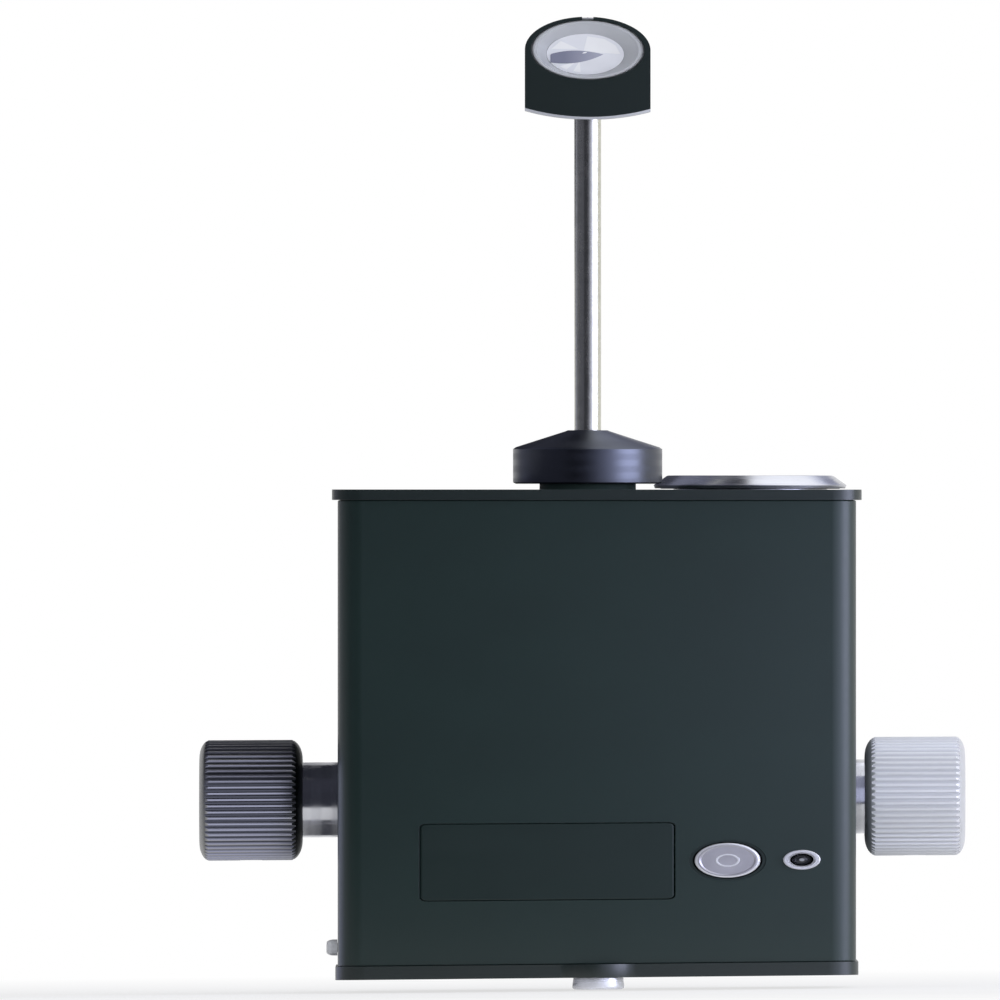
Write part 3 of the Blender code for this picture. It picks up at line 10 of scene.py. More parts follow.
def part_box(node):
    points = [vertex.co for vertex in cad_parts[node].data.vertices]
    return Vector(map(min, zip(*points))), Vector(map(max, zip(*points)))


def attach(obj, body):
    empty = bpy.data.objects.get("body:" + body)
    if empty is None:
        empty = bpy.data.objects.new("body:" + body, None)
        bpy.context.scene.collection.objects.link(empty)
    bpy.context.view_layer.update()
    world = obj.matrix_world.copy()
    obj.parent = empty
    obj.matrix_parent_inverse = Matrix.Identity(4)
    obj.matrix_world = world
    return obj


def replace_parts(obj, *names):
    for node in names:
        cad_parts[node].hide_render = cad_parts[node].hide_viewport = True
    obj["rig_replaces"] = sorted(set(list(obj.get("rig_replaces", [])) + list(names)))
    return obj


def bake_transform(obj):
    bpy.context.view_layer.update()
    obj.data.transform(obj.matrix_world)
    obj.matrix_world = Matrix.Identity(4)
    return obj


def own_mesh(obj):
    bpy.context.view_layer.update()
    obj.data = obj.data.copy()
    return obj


bl_info = {
    "name": "Applanation tonometer",
    "version": (1, 0, 0),
    "blender": (4, 5, 0),
    "location": "View3D > Sidebar > Tonometer",
    "description": "Models and finishes the pieces of a slit lamp's applanation tonometer over its frame",
    "category": "Object",
}

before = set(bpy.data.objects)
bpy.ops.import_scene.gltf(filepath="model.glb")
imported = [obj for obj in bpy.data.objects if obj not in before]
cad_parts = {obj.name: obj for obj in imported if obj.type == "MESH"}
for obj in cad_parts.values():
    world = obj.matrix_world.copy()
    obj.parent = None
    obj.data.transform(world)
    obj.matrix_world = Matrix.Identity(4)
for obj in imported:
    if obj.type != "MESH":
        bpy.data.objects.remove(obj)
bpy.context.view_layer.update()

MM = 0.001
FULL_TURN = 2 * math.pi
SMOOTH_ANGLE = math.radians(32)
MERGE = 1e-7  # points nearer than this count as one
WINDOW_CORNER = 0.8 * MM
AXIS_TURN = {
    "X": (0, math.pi / 2, 0),
    "-X": (0, -math.pi / 2, 0),
    "Y": (-math.pi / 2, 0, 0),
    "Z": (0, 0, 0),
    "-Z": (math.pi, 0, 0),
}


def linear(hex_colour, alpha=1.0):
    """An sRGB hex colour as linear RGBA."""
    parts = [int(hex_colour[i : i + 2], 16) / 255 for i in (1, 3, 5)]
    return (*[p / 12.92 if p <= 0.04045 else ((p + 0.055) / 1.055) ** 2.4 for p in parts], alpha)


def length_prop(name, description, size_mm):
    return bpy.props.FloatProperty(
        name=name, description=description, default=size_mm * MM, min=0, unit="LENGTH", precision=5
    )


def colour_prop(name, description, hex_colour):
    return bpy.props.FloatVectorProperty(
        name=name, description=description, default=linear(hex_colour), size=4, min=0, max=1, subtype="COLOR"
    )


class TonometerSizes(bpy.types.PropertyGroup):
    """Sizes of the details that the frame leaves plain."""

    seam: length_prop("Seam", "Gap that shows under the shoulders of the pin and the neck", 0.06)
    wall: length_prop("Wall", "Thickness of the housing's walls", 2.0)
    corner: length_prop("Corner", "Radius of the housing's upright corners", 2.6)
    plate_corner: length_prop("Plate corner", "Radius of the plates' corners", 3.2)
    end_chamfer: length_prop("End chamfer", "Chamfer round the housing's ends, which shades its seams", 0.3)
    edge: length_prop("Edge", "Rounding along the edges of the plates", 0.35)
    lip: length_prop("Lip", "Rounded lips of the openings in the housing", 0.2)
    fine_edge: length_prop("Fine edge", "Broken edge of turned and machined pieces", 0.12)
    groove: length_prop("Window groove", "Groove around the display window", 0.06)
    flutes: bpy.props.IntProperty(name="Flutes", description="Flutes around a knob", default=60, min=12)
    flute_depth: length_prop("Flute depth", "Depth of the knobs' flutes", 0.45)
    marks: bpy.props.IntProperty(name="Marks", description="Marks on the prism's rim", default=36, min=4)


class TonometerColours(bpy.types.PropertyGroup):
    """Colours of the finishes."""

    coat: colour_prop("Coat", "Satin powder coat of the housing", "#0F2420")
    plate_coat: colour_prop("Plate coat", "Satin coat of the top and base plates", "#16211F")
    black_metal: colour_prop("Black metal", "Black anodised dust collar", "#52555C")
    dark_knob: colour_prop("Left knob", "Black anodised left knob", "#9A9A9B")
    silver_knob: colour_prop("Right knob", "Silver anodised right knob", "#E8E9EB")
    steel: colour_prop("Steel", "Polished stainless steel", "#BEBFC3")
    aluminium: colour_prop("Aluminium", "Turned aluminium of the button", "#AEADB4")
    pane: colour_prop("Pane", "Smoked acrylic of the display window", "#142421")
    prism: colour_prop("Prism", "Ground acrylic of the measuring prism", "#C6C8CC")


def sizes():
    return bpy.context.scene.tonometer_sizes


def colours():
    return bpy.context.scene.tonometer_colours


# Modelling helpers


def measure(node):
    """A node's lowest and highest corners, its middle, and half its width."""
    low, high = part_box(node)
    return low, high, (low + high) / 2, (high.x - low.x) / 2


def centre_of(node):
    return measure(node)[2]


def take_new(name):
    """Names the primitive that was just added and sets its place into its mesh."""
    obj = bpy.context.object
    obj.name = name
    obj.data.name = name
    bpy.ops.object.transform_apply(location=True, rotation=True, scale=True)
    return obj


def deselect():
    """Clears the selection, because an operator acts on all that is selected."""
    bpy.ops.object.select_all(action="DESELECT")


def add_block(name, low, high):
    low, high = Vector(low), Vector(high)
    deselect()
    bpy.ops.mesh.primitive_cube_add(size=1, location=(low + high) / 2, scale=high - low)
    return take_new(name)


def add_drum(name, radius, low, high, at, axis="Z", sides=64, top_radius=None):
    """A cylinder or cone from low to high along its axis, measured from the point at."""
    deselect()
    bpy.ops.mesh.primitive_cone_add(
        vertices=sides, radius1=radius, radius2=radius if top_radius is None else top_radius,
        depth=high - low, location=(0, 0, (low + high) / 2),
    )
    return put(take_new(name), at, axis)


def put(obj, at, axis):
    """Turns a piece made along Z to its axis, moves it to its place, and sets both into its mesh."""
    obj.location = at
    obj.rotation_euler = AXIS_TURN[axis]
    only(obj)
    bpy.ops.object.transform_apply(location=True, rotation=True, scale=True)
    return obj


def only(obj):
    deselect()
    obj.select_set(True)
    bpy.context.view_layer.objects.active = obj


def edit(obj, selection="DESELECT"):
    only(obj)
    bpy.ops.object.mode_set(mode="EDIT")
    bpy.ops.mesh.select_all(action=selection)


def leave_edit():
    bpy.ops.object.mode_set(mode="OBJECT")


def pick(obj, kind, test):
    """In edit mode, selects only the VERT, EDGE or FACE items that pass the test."""
    bpy.ops.mesh.select_mode(type=kind)
    bpy.ops.mesh.select_all(action="DESELECT")
    shape = bmesh.from_edit_mesh(obj.data)
    items = {"VERT": shape.verts, "EDGE": shape.edges, "FACE": shape.faces}[kind]
    for item in items:
        if test(item):
            item.select_set(True)
    bmesh.update_edit_mesh(obj.data)


def along(index):
    """A test for edges that run along one axis."""
    return lambda e: all(abs((e.verts[0].co - e.verts[1].co)[i]) < MERGE for i in range(3) if i != index)


def bevel_edges(obj, test, width, segments):
    edit(obj)
    pick(obj, "EDGE", test)
    bpy.ops.mesh.bevel(offset=width, segments=segments, affect="EDGES")
    leave_edit()


def apply_modifier(obj, kind, **settings):
    only(obj)
    modifier = obj.modifiers.new(kind.lower(), kind)
    for key, value in settings.items():
        setattr(modifier, key, value)
    bpy.ops.object.modifier_apply(modifier=modifier.name)


def boolean(target, operation, *tools):
    for tool in tools:
        apply_modifier(target, "BOOLEAN", operation=operation, object=tool, solver="EXACT")
        bpy.data.objects.remove(tool, do_unlink=True)


def cut(target, *tools):
    boolean(target, "DIFFERENCE", *tools)


def break_edges(obj, width, segments=2, angle=35):
    """Rounds every edge that is sharper than the angle."""
    apply_modifier(
        obj, "BEVEL", width=width, segments=segments, limit_method="ANGLE", use_clamp_overlap=True,
        angle_limit=math.radians(angle),
    )


def trace(name, points):
    """Draws edges from point to point, and leaves them selected in edit mode."""
    deselect()
    bpy.ops.mesh.primitive_plane_add(size=MM)
    obj = take_new(name)
    edit(obj)
    pick(obj, "VERT", lambda v: v.index > 0)
    bpy.ops.mesh.delete(type="VERT")
    bpy.ops.mesh.select_all(action="SELECT")
    corner = next(iter(bmesh.from_edit_mesh(obj.data).verts)).co.copy()
    points = [Vector(point) for point in points]
    bpy.ops.transform.translate(value=points[0] - corner)
    for point, following in zip(points, points[1:]):
        bpy.ops.mesh.extrude_vertices_move(TRANSFORM_OT_translate={"value": following - point})
    bpy.ops.mesh.select_all(action="SELECT")
    return obj


def turn_profile(name, profile, at, axis="Z", steps=96):
    """Spins a profile of (radius, height) points about its axis, as on a lathe. A profile that starts off the
    axis closes on itself, to a ring."""
    points = [(radius, 0, height) for radius, height in profile]
    obj = trace(name, [*points, points[0]] if profile[0][0] else points)
    bpy.ops.mesh.spin(steps=steps, angle=FULL_TURN, center=(0, 0, 0), axis=(0, 0, 1))
    tidy_faces()
    leave_edit()
    return put(obj, at, axis)


def add_plate(name, outline, shift):
    """A flat plate from its outline, made solid along shift."""
    obj = trace(name, outline)
    bpy.ops.mesh.edge_face_add()
    bpy.ops.mesh.select_mode(type="FACE")
    bpy.ops.mesh.select_all(action="SELECT")
    bpy.ops.mesh.extrude_region_move(TRANSFORM_OT_translate={"value": shift})
    tidy_faces()
    leave_edit()
    return obj


def tidy_faces():
    """In edit mode, merges doubles and turns all faces outwards."""
    bpy.ops.mesh.select_all(action="SELECT")
    bpy.ops.mesh.remove_doubles(threshold=MERGE)
    bpy.ops.mesh.select_all(action="SELECT")
    bpy.ops.mesh.normals_make_consistent(inside=False)


def rounded(radius, height, size, start, end, steps=4):
    """Points of a rounded corner about (radius, height), its angles in degrees from the outward radius."""
    points = []
    for i in range(steps + 1):
        angle = math.radians(start + (end - start) * i / steps)
        points.append((radius + size * math.cos(angle), height + size * math.sin(angle)))
    return points


def give_finishes(obj, *materials):
    """Puts finishes on a piece, in order, unless it has them already."""
    for material in materials:
        if material.name not in obj.data.materials:
            obj.data.materials.append(material)


def finish_faces(obj, index, test):
    """Gives the faces whose middles pass the test the finish of that index."""
    edit(obj)
    pick(obj, "FACE", lambda face: test(face.calc_center_median()))
    obj.active_material_index = index
    bpy.ops.object.material_slot_assign()
    leave_edit()


def complete(obj, body, slot, material, *nodes):
    """Closes and shades a finished piece, gives it its finish and sets it on its body, if it has one."""
    edit(obj)
    tidy_faces()
    leave_edit()
    bpy.ops.object.shade_smooth_by_angle(angle=SMOOTH_ANGLE)
    apply_modifier(obj, "WEIGHTED_NORMAL", keep_sharp=True)
    give_finishes(obj, material)
    if not obj.data.polygons:
        raise RuntimeError(f"{obj.name} has no faces")
    if nodes:
        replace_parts(obj, *nodes)
    if body:
        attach(obj, body)


def copy_to(obj, name, shift):
    """A copy with its own mesh, moved by shift."""
    twin = obj.copy()
    twin.data = obj.data.copy()
    twin.name = name
    twin.data.name = name
    bpy.context.scene.collection.objects.link(twin)
    twin.data.transform(Matrix.Translation(shift))
    return twin


def turn_piece(node, profile, at, body, slot, material, axis="Z", steps=96):
    """A turned piece that takes a node's place."""
    complete(turn_profile(f"{node}_fine", profile, at, axis, steps), body, slot, material, node)


# Finishes


def per_mm(size):
    """The texture scale at which one feature measures this many millimetres."""
    return 1 / (size * MM)


def new_material(name):
    material = bpy.data.materials.new(name)
    material.use_nodes = True
    return material, material.node_tree


def add_node(tree, kind, values=(), links=()):
    """Adds a node. Values are {socket or attribute: value}, links are {socket: output that feeds it}."""
    node = tree.nodes.new(kind)
    for key, value in dict(values).items():
        if isinstance(key, int) or key in node.inputs:
            node.inputs[key].default_value = value
        else:
            setattr(node, key, value)
    for key, source in dict(links).items():
        tree.links.new(source, node.inputs[key])
    return node


def tone(colour, factor):
    return (*[min(c * factor, 1) for c in colour[:3]], 1)


NOISE = "ShaderNodeTexNoise"
WAVE = "ShaderNodeTexWave"
WAVES_PER_UNIT = 20  # bands in one unit of a wave texture, at scale 1


def grain_noise(size_mm, detail=3):
    return NOISE, {"Scale": per_mm(size_mm), "Detail": detail, "Roughness": 0.55}


def lathe_grain(axis, pitch_mm):
    """Lines round a turned piece. A real tool leaves 0.05 mm: they are drawn coarser so that they show."""
    return WAVE, {
        "wave_type": "BANDS", "bands_direction": axis, "Scale": per_mm(pitch_mm) / WAVES_PER_UNIT,
        "Distortion": 0.4, "Detail": 2.0, "Detail Scale": 3.0,
    }


def surface(
    name, colour, rough, grain, relief_mm, drift=(12, 0.07), gloss_change=0.05, spot=(0, 0, 0),
    stretch=(1, 1, 1), **constants,
):
    """A finish: a slow drift in its colour (size in mm and share), and a grain that changes its gloss and
    stands in relief. The grain's middle is at spot, it is drawn out by stretch, and constants go on the
    shader."""
    cloud_low, cloud_high, grain_low, grain_high, bump_share = 0.3, 0.7, 0.25, 0.75, 0.15
    material, tree = new_material(name)
    shader = tree.nodes["Principled BSDF"]
    for key, value in constants.items():
        shader.inputs[key.replace("_", " ")].default_value = value
    place = add_node(tree, "ShaderNodeTexCoord").outputs["Object"]
    values = {"Location": -Vector(spot), "Scale": stretch}
    mapped = add_node(tree, "ShaderNodeMapping", values, {"Vector": place}).outputs["Vector"]
    size, share = drift
    cloud = add_node(tree, NOISE, {"Scale": per_mm(size), "Detail": 2}, {"Vector": place}).outputs["Fac"]
    values = {"From Min": cloud_low, "From Max": cloud_high}
    clear = add_node(tree, "ShaderNodeMapRange", values, {"Value": cloud})
    values = {"data_type": "RGBA", "name": "tone", 6: tone(colour, 1 - share), 7: tone(colour, 1 + share)}
    mix = add_node(tree, "ShaderNodeMix", values, {0: clear.outputs[0]})
    pattern = add_node(tree, grain[0], grain[1], {"Vector": mapped}).outputs["Fac"]
    values = {"From Min": grain_low, "From Max": grain_high}
    values |= {"To Min": rough - gloss_change, "To Max": rough + gloss_change}
    gloss = add_node(tree, "ShaderNodeMapRange", values, {"Value": pattern})
    values = {"Strength": bump_share, "Distance": relief_mm * MM}
    bump = add_node(tree, "ShaderNodeBump", values, {"Height": pattern})
    tree.links.new(mix.outputs[2], shader.inputs["Base Color"])
    tree.links.new(gloss.outputs[0], shader.inputs["Roughness"])
    tree.links.new(bump.outputs[0], shader.inputs["Normal"])
    return material


def shade_between(material, share, first, second):
    """Lets a share, in place of the drift, run a finish's colour from the first to the second."""
    mix = material.node_tree.nodes["tone"]
    mix.inputs[6].default_value = first
    mix.inputs[7].default_value = second
    material.node_tree.links.new(share, mix.inputs[0])
    return material


def satin_coat(name, colour, rough):
    """Powder coat on aluminium: a satin black with a faint orange peel and a slightly uneven gloss."""
    return surface(name, colour, rough, grain_noise(0.45), 0.02, (18, 0.08), 0.03, IOR=1.55)


def black_oxide():
    """Blackened steel of the neck: dull, with hardly any gloss."""
    colour = linear("#2C3C39")
    return surface("black_oxide_steel", colour, 0.6, grain_noise(0.45), 0.01, (5, 0.08), 0.03, IOR=1.3)


def turned_metal(name, colour, rough, axis, pitch_mm=0.35, metallic=1.0):
    """Turned metal: lathe lines that break up the reflection, over a slow drift of tone. A blasted or
    anodised one is less metallic, because its skin scatters the light."""
    grain = lathe_grain(axis, pitch_mm)
    return surface(name, colour, rough, grain, 0.006, (6, 0.05), 0.03, Metallic=metallic)


def ground_rod_steel():
    """Ground stainless rod: polished, with short scratches along it that speckle its highlight."""
    return surface(
        "ground_stainless_rod", linear("#C4C3B7"), 0.25, grain_noise(0.5, 4), 0.003, (1.4, 0.07),
        stretch=(1, 1, 0.14), Metallic=1.0,
    )


def knob_metal(name, crown, valley, rough, node, metallic):
    """Anodised aluminium, bead blasted, with painted shade: darker in the flutes and lighter on the crowns."""
    material = surface(name, crown, rough, grain_noise(0.3), 0.02, Metallic=metallic)
    tree = material.node_tree
    low, high, axis, _ = measure(node)
    radius, depth = (high.z - low.z) / 2, sizes().flute_depth
    source = tree.nodes["Texture Coordinate"].outputs["Object"]
    for operation, value in (("SUBTRACT", (0, axis.y, axis.z)), ("MULTIPLY", (0, 1, 1))):
        values = {"operation": operation, 1: value}
        source = add_node(tree, "ShaderNodeVectorMath", values, {0: source}).outputs[0]
    reach = add_node(tree, "ShaderNodeVectorMath", {"operation": "LENGTH"}, {0: source}).outputs["Value"]
    values = {"From Min": radius - depth, "From Max": radius - 0.1 * depth}
    # Painted shade: the colour runs from the valley colour in the flutes to the crown colour on the crowns
    flute_shade_share = add_node(tree, "ShaderNodeMapRange", values, {"Value": reach})
    return shade_between(material, flute_shade_share.outputs[0], valley, crown)


def ringed_aluminium(node):
    """Turned button face: concentric tool rings about its middle, satin."""
    scale = per_mm(0.4) / WAVES_PER_UNIT
    rings = {"wave_type": "RINGS", "rings_direction": "Y", "Scale": scale, "Distortion": 0.2}
    return surface(
        "turned_aluminium_button", colours().aluminium, 0.36, (WAVE, rings), 0.008, (2.5, 0.06),
        spot=centre_of(node), Metallic=0.5,
    )


def moulded_plastic(name, colour, rough, grain_mm=0.4):
    """Moulded plastic with a fine spark-eroded grain."""
    return surface(name, colour, rough, grain_noise(grain_mm), 0.01, (7, 0.1), IOR=1.49)


def smoked_pane():
    """Smoked acrylic: nearly black, glossier than the coat, with faint wiping marks in its gloss."""
    return surface(
        "smoked_acrylic", colours().pane, 0.36, grain_noise(5, 2), 0.0002, (9, 0.05), 0.03,
        stretch=(0.25, 1, 1), IOR=1.49,
    )


def prism_acrylic(name, colour, rough, clear):
    """Cast acrylic of the prism: its ground walls are milky, its polished faces clear and bright."""
    return surface(
        name, colour, rough, grain_noise(1.5, 2), 0.002, (3, 0.03), 0.02, IOR=1.49, Transmission_Weight=clear
    )


def facet_shade(node):
    """A facet of the prism that looks into the dark holder, painted as shade: darker on the left, lighter
    towards the right.
    """
    material = prism_acrylic("prism_facet_shade", linear("#8E90A4"), 0.2, 0.1)
    tree = material.node_tree
    place = tree.nodes["Texture Coordinate"].outputs["Object"]
    across = add_node(tree, "ShaderNodeSeparateXYZ", {}, {0: place}).outputs["X"]
    middle = centre_of(node).x
    values = {"From Min": middle - 2.5 * MM, "From Max": middle + 1.5 * MM}
    clear = add_node(tree, "ShaderNodeMapRange", values, {"Value": across})
    return shade_between(material, clear.outputs[0], linear("#84869A"), linear("#B4B6C6"))


def board_laminate():
    """Circuit board: green solder mask over a woven laminate."""
    return surface("solder_mask", linear("#125835"), 0.36, grain_noise(0.6, 2), 0.005, (0.6, 0.2), IOR=1.55)


# Housing, plates and fasteners


def countersink(at, axis, depth):
    """A cutter for a countersunk screw's hole, whose mouth is at the point at. It opens along its axis."""
    head, shank, deep, over = 2.25 * MM, 1.15 * MM, 1.1 * MM, 0.5 * MM
    mouth = head + (head - shank) * over / deep
    profile = [(0, over), (mouth, over), (shank, -deep), (shank, -depth), (0, -depth)]
    return turn_profile("countersink", profile, at, axis, 32)


def window_block(grow, front, back):
    """A cutter for the window's opening, larger than the pane by grow on every side."""
    low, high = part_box("display_window")
    rim = Vector((grow, 0, grow))
    low.y, high.y = front, back
    block = add_block("window_cutter", low - rim, high + rim)
    bevel_edges(block, along(1), WINDOW_CORNER, 5)
    return block


def model_housing():
    """A rounded extruded box, open at both ends, with the openings of the front and the sides cut in."""
    sheet = sizes()
    low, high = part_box("housing")
    low.z, high.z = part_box("base_plate")[1].z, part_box("top_plate")[0].z
    shell = add_block("housing_shell", low, high)
    bevel_edges(shell, along(2), sheet.corner, 10)
    bevel_edges(shell, lambda e: abs(e.verts[0].co.z - e.verts[1].co.z) < MERGE, sheet.end_chamfer, 2)
    past, groove_deep, pane_gap, pane_room, ledge = (v * MM for v in (3, 0.3, 0.02, 0.15, 0.7))
    inner = Vector((sheet.wall, sheet.wall, -past))
    front, pane_back = low.y - past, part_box("display_window")[1].y + pane_room
    cut(
        shell,
        add_block("room", low + inner, high - inner),
        window_block(sheet.groove, front, low.y + groove_deep),
        window_block(pane_gap, front, pane_back),
        window_block(-ledge, low.y, low.y + sheet.wall + past),
    )
    button_hole, button_recess, recess_deep = 3.7 * MM, 4.1 * MM, 0.35 * MM
    lamp_hole, bush_hole = 1.75 * MM, 5.15 * MM
    for node, radius, deep, sides in (
        ("push_button", button_hole, past, 96),
        ("push_button", button_recess, recess_deep, 96),
        ("indicator_bezel", lamp_hole, past, 48),
    ):
        at = centre_of(node)
        cut(shell, add_drum("hole", radius, -past, deep, (at.x, low.y, at.z), "Y", sides))
    shaft = centre_of("knob_shaft")
    for x in (low.x, high.x):
        cut(shell, add_drum("hole", bush_hole, -past, past, (x, shaft.y, shaft.z), "X", 64))
    break_edges(shell, sheet.lip)
    coat = satin_coat("satin_powder_coat", colours().coat, 0.4)
    complete(shell, "frame", "satin_black", coat, "housing")


def model_top_plate(coat):
    sheet = sizes()
    low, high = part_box("top_plate")
    plate = add_block("top_cover", low, high)
    bevel_edges(plate, along(2), sheet.plate_corner, 10)
    past, neck_hole, cap_hole = 2 * MM, 5.25 * MM, 9.05 * MM
    deep = high.z - low.z + past
    for node, radius in (("neck_ring", neck_hole), ("battery_cap", cap_hole)):
        at = centre_of(node)
        cut(plate, add_drum("hole", radius, -deep, past, (at.x, at.y, high.z), sides=96))
    for number in range(1, 5):
        screw = centre_of(f"top_screw_{number}")
        cut(plate, countersink((screw.x, screw.y, high.z), "Z", deep))
    break_edges(plate, sheet.edge, 3)
    complete(plate, "frame", "satin_black", coat, "top_plate")


def base_outline(low, high, lobe, fillet, corner):
    """The base's outline as (x, y) points: a rounded oblong, and a lobe about the pin that two fillets lead
    into."""
    fillet_y = low.y - fillet
    fillet_x = math.sqrt((lobe + fillet) ** 2 - fillet_y**2)
    meet = math.degrees(math.atan2(fillet_y, fillet_x))
    left, right, front, back = low.x + corner, high.x - corner, low.y + corner, high.y - corner
    outline = rounded(0, 0, lobe, -180 - meet, meet, 36)
    outline += rounded(fillet_x, fillet_y, fillet, 180 + meet, 90, 24)[1:]
    for turn, (x, y) in enumerate(((right, front), (right, back), (left, back), (left, front))):
        outline += rounded(x, y, corner, 90 * turn - 90, 90 * turn, 10)
    return outline + rounded(-fillet_x, fillet_y, fillet, 90, -meet, 24)[:-1]


def model_base_plate(coat):
    """The base: a rounded plate with a lobe round the pin at its front, drawn in a little at its sides."""
    low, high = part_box("base_plate")
    side_low, side_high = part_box("top_plate")
    draw_in, fillet, pin_hole, edge = Vector((0.35 * MM, 0, 0)), 2.5 * MM, 2.15 * MM, 0.45 * MM
    outline = base_outline(side_low + draw_in, side_high - draw_in, -low.y, fillet, sizes().plate_corner)
    plate = add_plate("base_cover", [(x, y, low.z) for x, y in outline], (0, 0, high.z - low.z))
    cut(plate, add_drum("hole", pin_hole, low.z - MM, high.z + MM, (0, 0, 0), sides=48))
    for node in (*[f"base_screw_{n}" for n in range(1, 5)], "chassis_screw_1", "chassis_screw_2"):
        screw = centre_of(node)
        cut(plate, countersink((screw.x, screw.y, low.z), "-Z", high.z - low.z + MM))
    break_edges(plate, edge, 4)
    complete(plate, "frame", "satin_black", coat, "base_plate")


def model_screw(node, axis, material):
    """A countersunk screw with a hexagon socket."""
    low, high, middle, _ = measure(node)
    head, shank, deep, edge, length = 2.1 * MM, 1.0 * MM, 1.1 * MM, 0.1 * MM, high.z - low.z
    profile = [(0, 0), (head - edge, 0), (head, -edge), (shank, -deep), (shank, -length), (0, -length)]
    at = (middle.x, middle.y, high.z if axis == "Z" else low.z)
    screw = turn_profile(f"{node}_fine", profile, at, axis, 40)
    socket, socket_deep = 0.85 * MM, 0.8 * MM
    cut(screw, add_drum("socket", socket, -socket_deep, socket_deep, at, axis, 6))
    complete(screw, "frame", "zinc_steel", material, node)
    return screw


def model_fasteners():
    zinc = turned_metal("zinc_plated_steel", linear("#A9ABB0"), 0.34, "Z", 0.5)
    for kind, axis, count in (("top_screw", "Z", 4), ("base_screw", "-Z", 4), ("chassis_screw", "-Z", 2)):
        first = model_screw(f"{kind}_1", axis, zinc)
        for number in range(2, count + 1):
            node = f"{kind}_{number}"
            twin = copy_to(first, f"{node}_fine", centre_of(node) - centre_of(f"{kind}_1"))
            twin["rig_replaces"] = []
            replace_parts(twin, node)
            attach(twin, "frame")


def model_mounting_pin():
    _, high, _, radius = measure("mounting_pin")
    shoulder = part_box("base_plate")[0].z - sizes().seam
    spigot, edge, round_off = 2.0 * MM, 0.1 * MM, 0.5 * MM
    profile = [(0, high.z), (spigot, high.z), (spigot, shoulder), (radius - edge, shoulder)]
    profile += [*rounded(radius - round_off, round_off, round_off, 0, -90, 6), (0, 0)]
    steel = turned_metal("satin_steel_pin", linear("#E2E3E8"), 0.3, "Z", 0.3, 0.45)
    turn_piece("mounting_pin", profile, (0, 0, 0), "frame", "polished_steel", steel)


def model_side_stud():
    low, high, middle, _ = measure("side_stud")
    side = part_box("housing")[0].x
    radius, reach = (high.z - low.z) / 2, side - low.x
    dome, spigot, seat, deep = 0.45 * radius, 0.9 * MM, 0.05 * MM, 2 * MM
    profile = [(0, reach), *rounded(radius - dome, reach - dome, dome, 90, 0, 5)]
    profile += [(radius, seat), (spigot, seat), (spigot, -deep), (0, -deep)]
    at = (side, middle.y, middle.z)
    plastic = moulded_plastic("pale_acetal", linear("#F8F9FA"), 0.4)
    turn_piece("side_stud", profile, at, "frame", "pale_plastic", plastic, "-X", 48)


# Knobs and bushes


def knob_blank(length, radius):
    """The turned blank of a knob: both ends rounded in long arcs, and a recess for the bush inside."""
    over, recess, deep, steps = 0.2 * MM, 7.8 * MM, 1.2 * MM, 8
    drop, run = 1.1 * MM, 3.6 * MM
    inner_drop, inner_run = 1.3 * MM, 3.9 * MM
    turns = [math.pi / 2 * i / steps for i in range(steps)]
    outer_end = [(radius - run * (1 - math.sin(a)), length - drop * (1 - math.cos(a))) for a in turns]
    inner_end = [(radius - inner_run * (1 - math.cos(a)), inner_drop * (1 - math.sin(a))) for a in turns[1:]]
    profile = [(0, length), *outer_end, (radius + over, length - drop - over), (radius + over, inner_drop)]
    profile += [*inner_end, (radius - inner_run, 0), (recess, 0), (recess, deep), (0, deep)]
    return turn_profile("knob_blank", profile, (0, 0, 0), steps=120)


def model_knob(side, axis, slot, material):
    """A fluted knob: straight flutes cut into a turned blank, and a hole for its grub screw."""
    node, sheet = f"{side}_knob", sizes()
    low, high, middle, _ = measure(node)
    radius, length = (high.z - low.z) / 2, high.x - low.x
    points = 4  # round each flute: two on its crown and two in its valley
    count = points * sheet.flutes
    knob = add_drum(f"{node}_fine", radius, -MM, length + MM, (0, 0, 0), "Z", count)
    step = FULL_TURN / count
    edit(knob)
    pick(knob, "VERT", lambda v: round(math.atan2(v.co.y, v.co.x) / step) % points in (2, 3))
    valley = (radius - sheet.flute_depth) / radius
    bpy.ops.transform.resize(value=(valley, valley, 1), center_override=(0, 0, 0))
    leave_edit()
    boolean(knob, "INTERSECT", knob_blank(length, radius))
    put(knob, (low.x if axis == "X" else high.x, middle.y, middle.z), axis)
    at = (centre_of(f"{side}_grub_screw").x, middle.y, middle.z)
    grub_hole, grub_seat = 1.2 * MM, 4 * MM
    cut(knob, add_drum("grub_hole", grub_hole, -radius - MM, -grub_seat, at, "Z", 32))
    complete(knob, "knobs", slot, material, node)


def model_bush(side, axis, material):
    """The polished sleeve that the shaft turns in. Its end stands in the knob's recess."""
    low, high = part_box(f"{side}_bush")
    knob_low, knob_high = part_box(f"{side}_knob")
    housing_low, housing_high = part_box("housing")
    at = centre_of("knob_shaft")
    at.x = housing_high.x if axis == "X" else housing_low.x
    in_knob, bore, spigot, edge, seat, deep = (v * MM for v in (0.9, 3.1, 5.0, 0.2, 0.05, 2))
    radius = (high.z - low.z) / 2
    end = (knob_low.x - at.x if axis == "X" else at.x - knob_high.x) + in_knob
    profile = [(bore, end), (radius - edge, end), (radius, end - edge), (radius, seat), (spigot, seat)]
    profile += [(spigot, -deep), (bore, -deep)]
    turn_piece(f"{side}_bush", profile, at, "frame", "polished_steel", material, axis)


# Measuring arm


def model_rod():
    low, high, middle, radius = measure("measuring_rod")
    edge = sizes().fine_edge
    profile = [(0, high.z), (radius - edge, high.z), (radius, high.z - edge), (radius, low.z + edge)]
    profile += [(radius - edge, low.z), (0, low.z)]
    at = (middle.x, middle.y, 0)
    turn_piece("measuring_rod", profile, at, "arm", "polished_steel", ground_rod_steel(), steps=64)


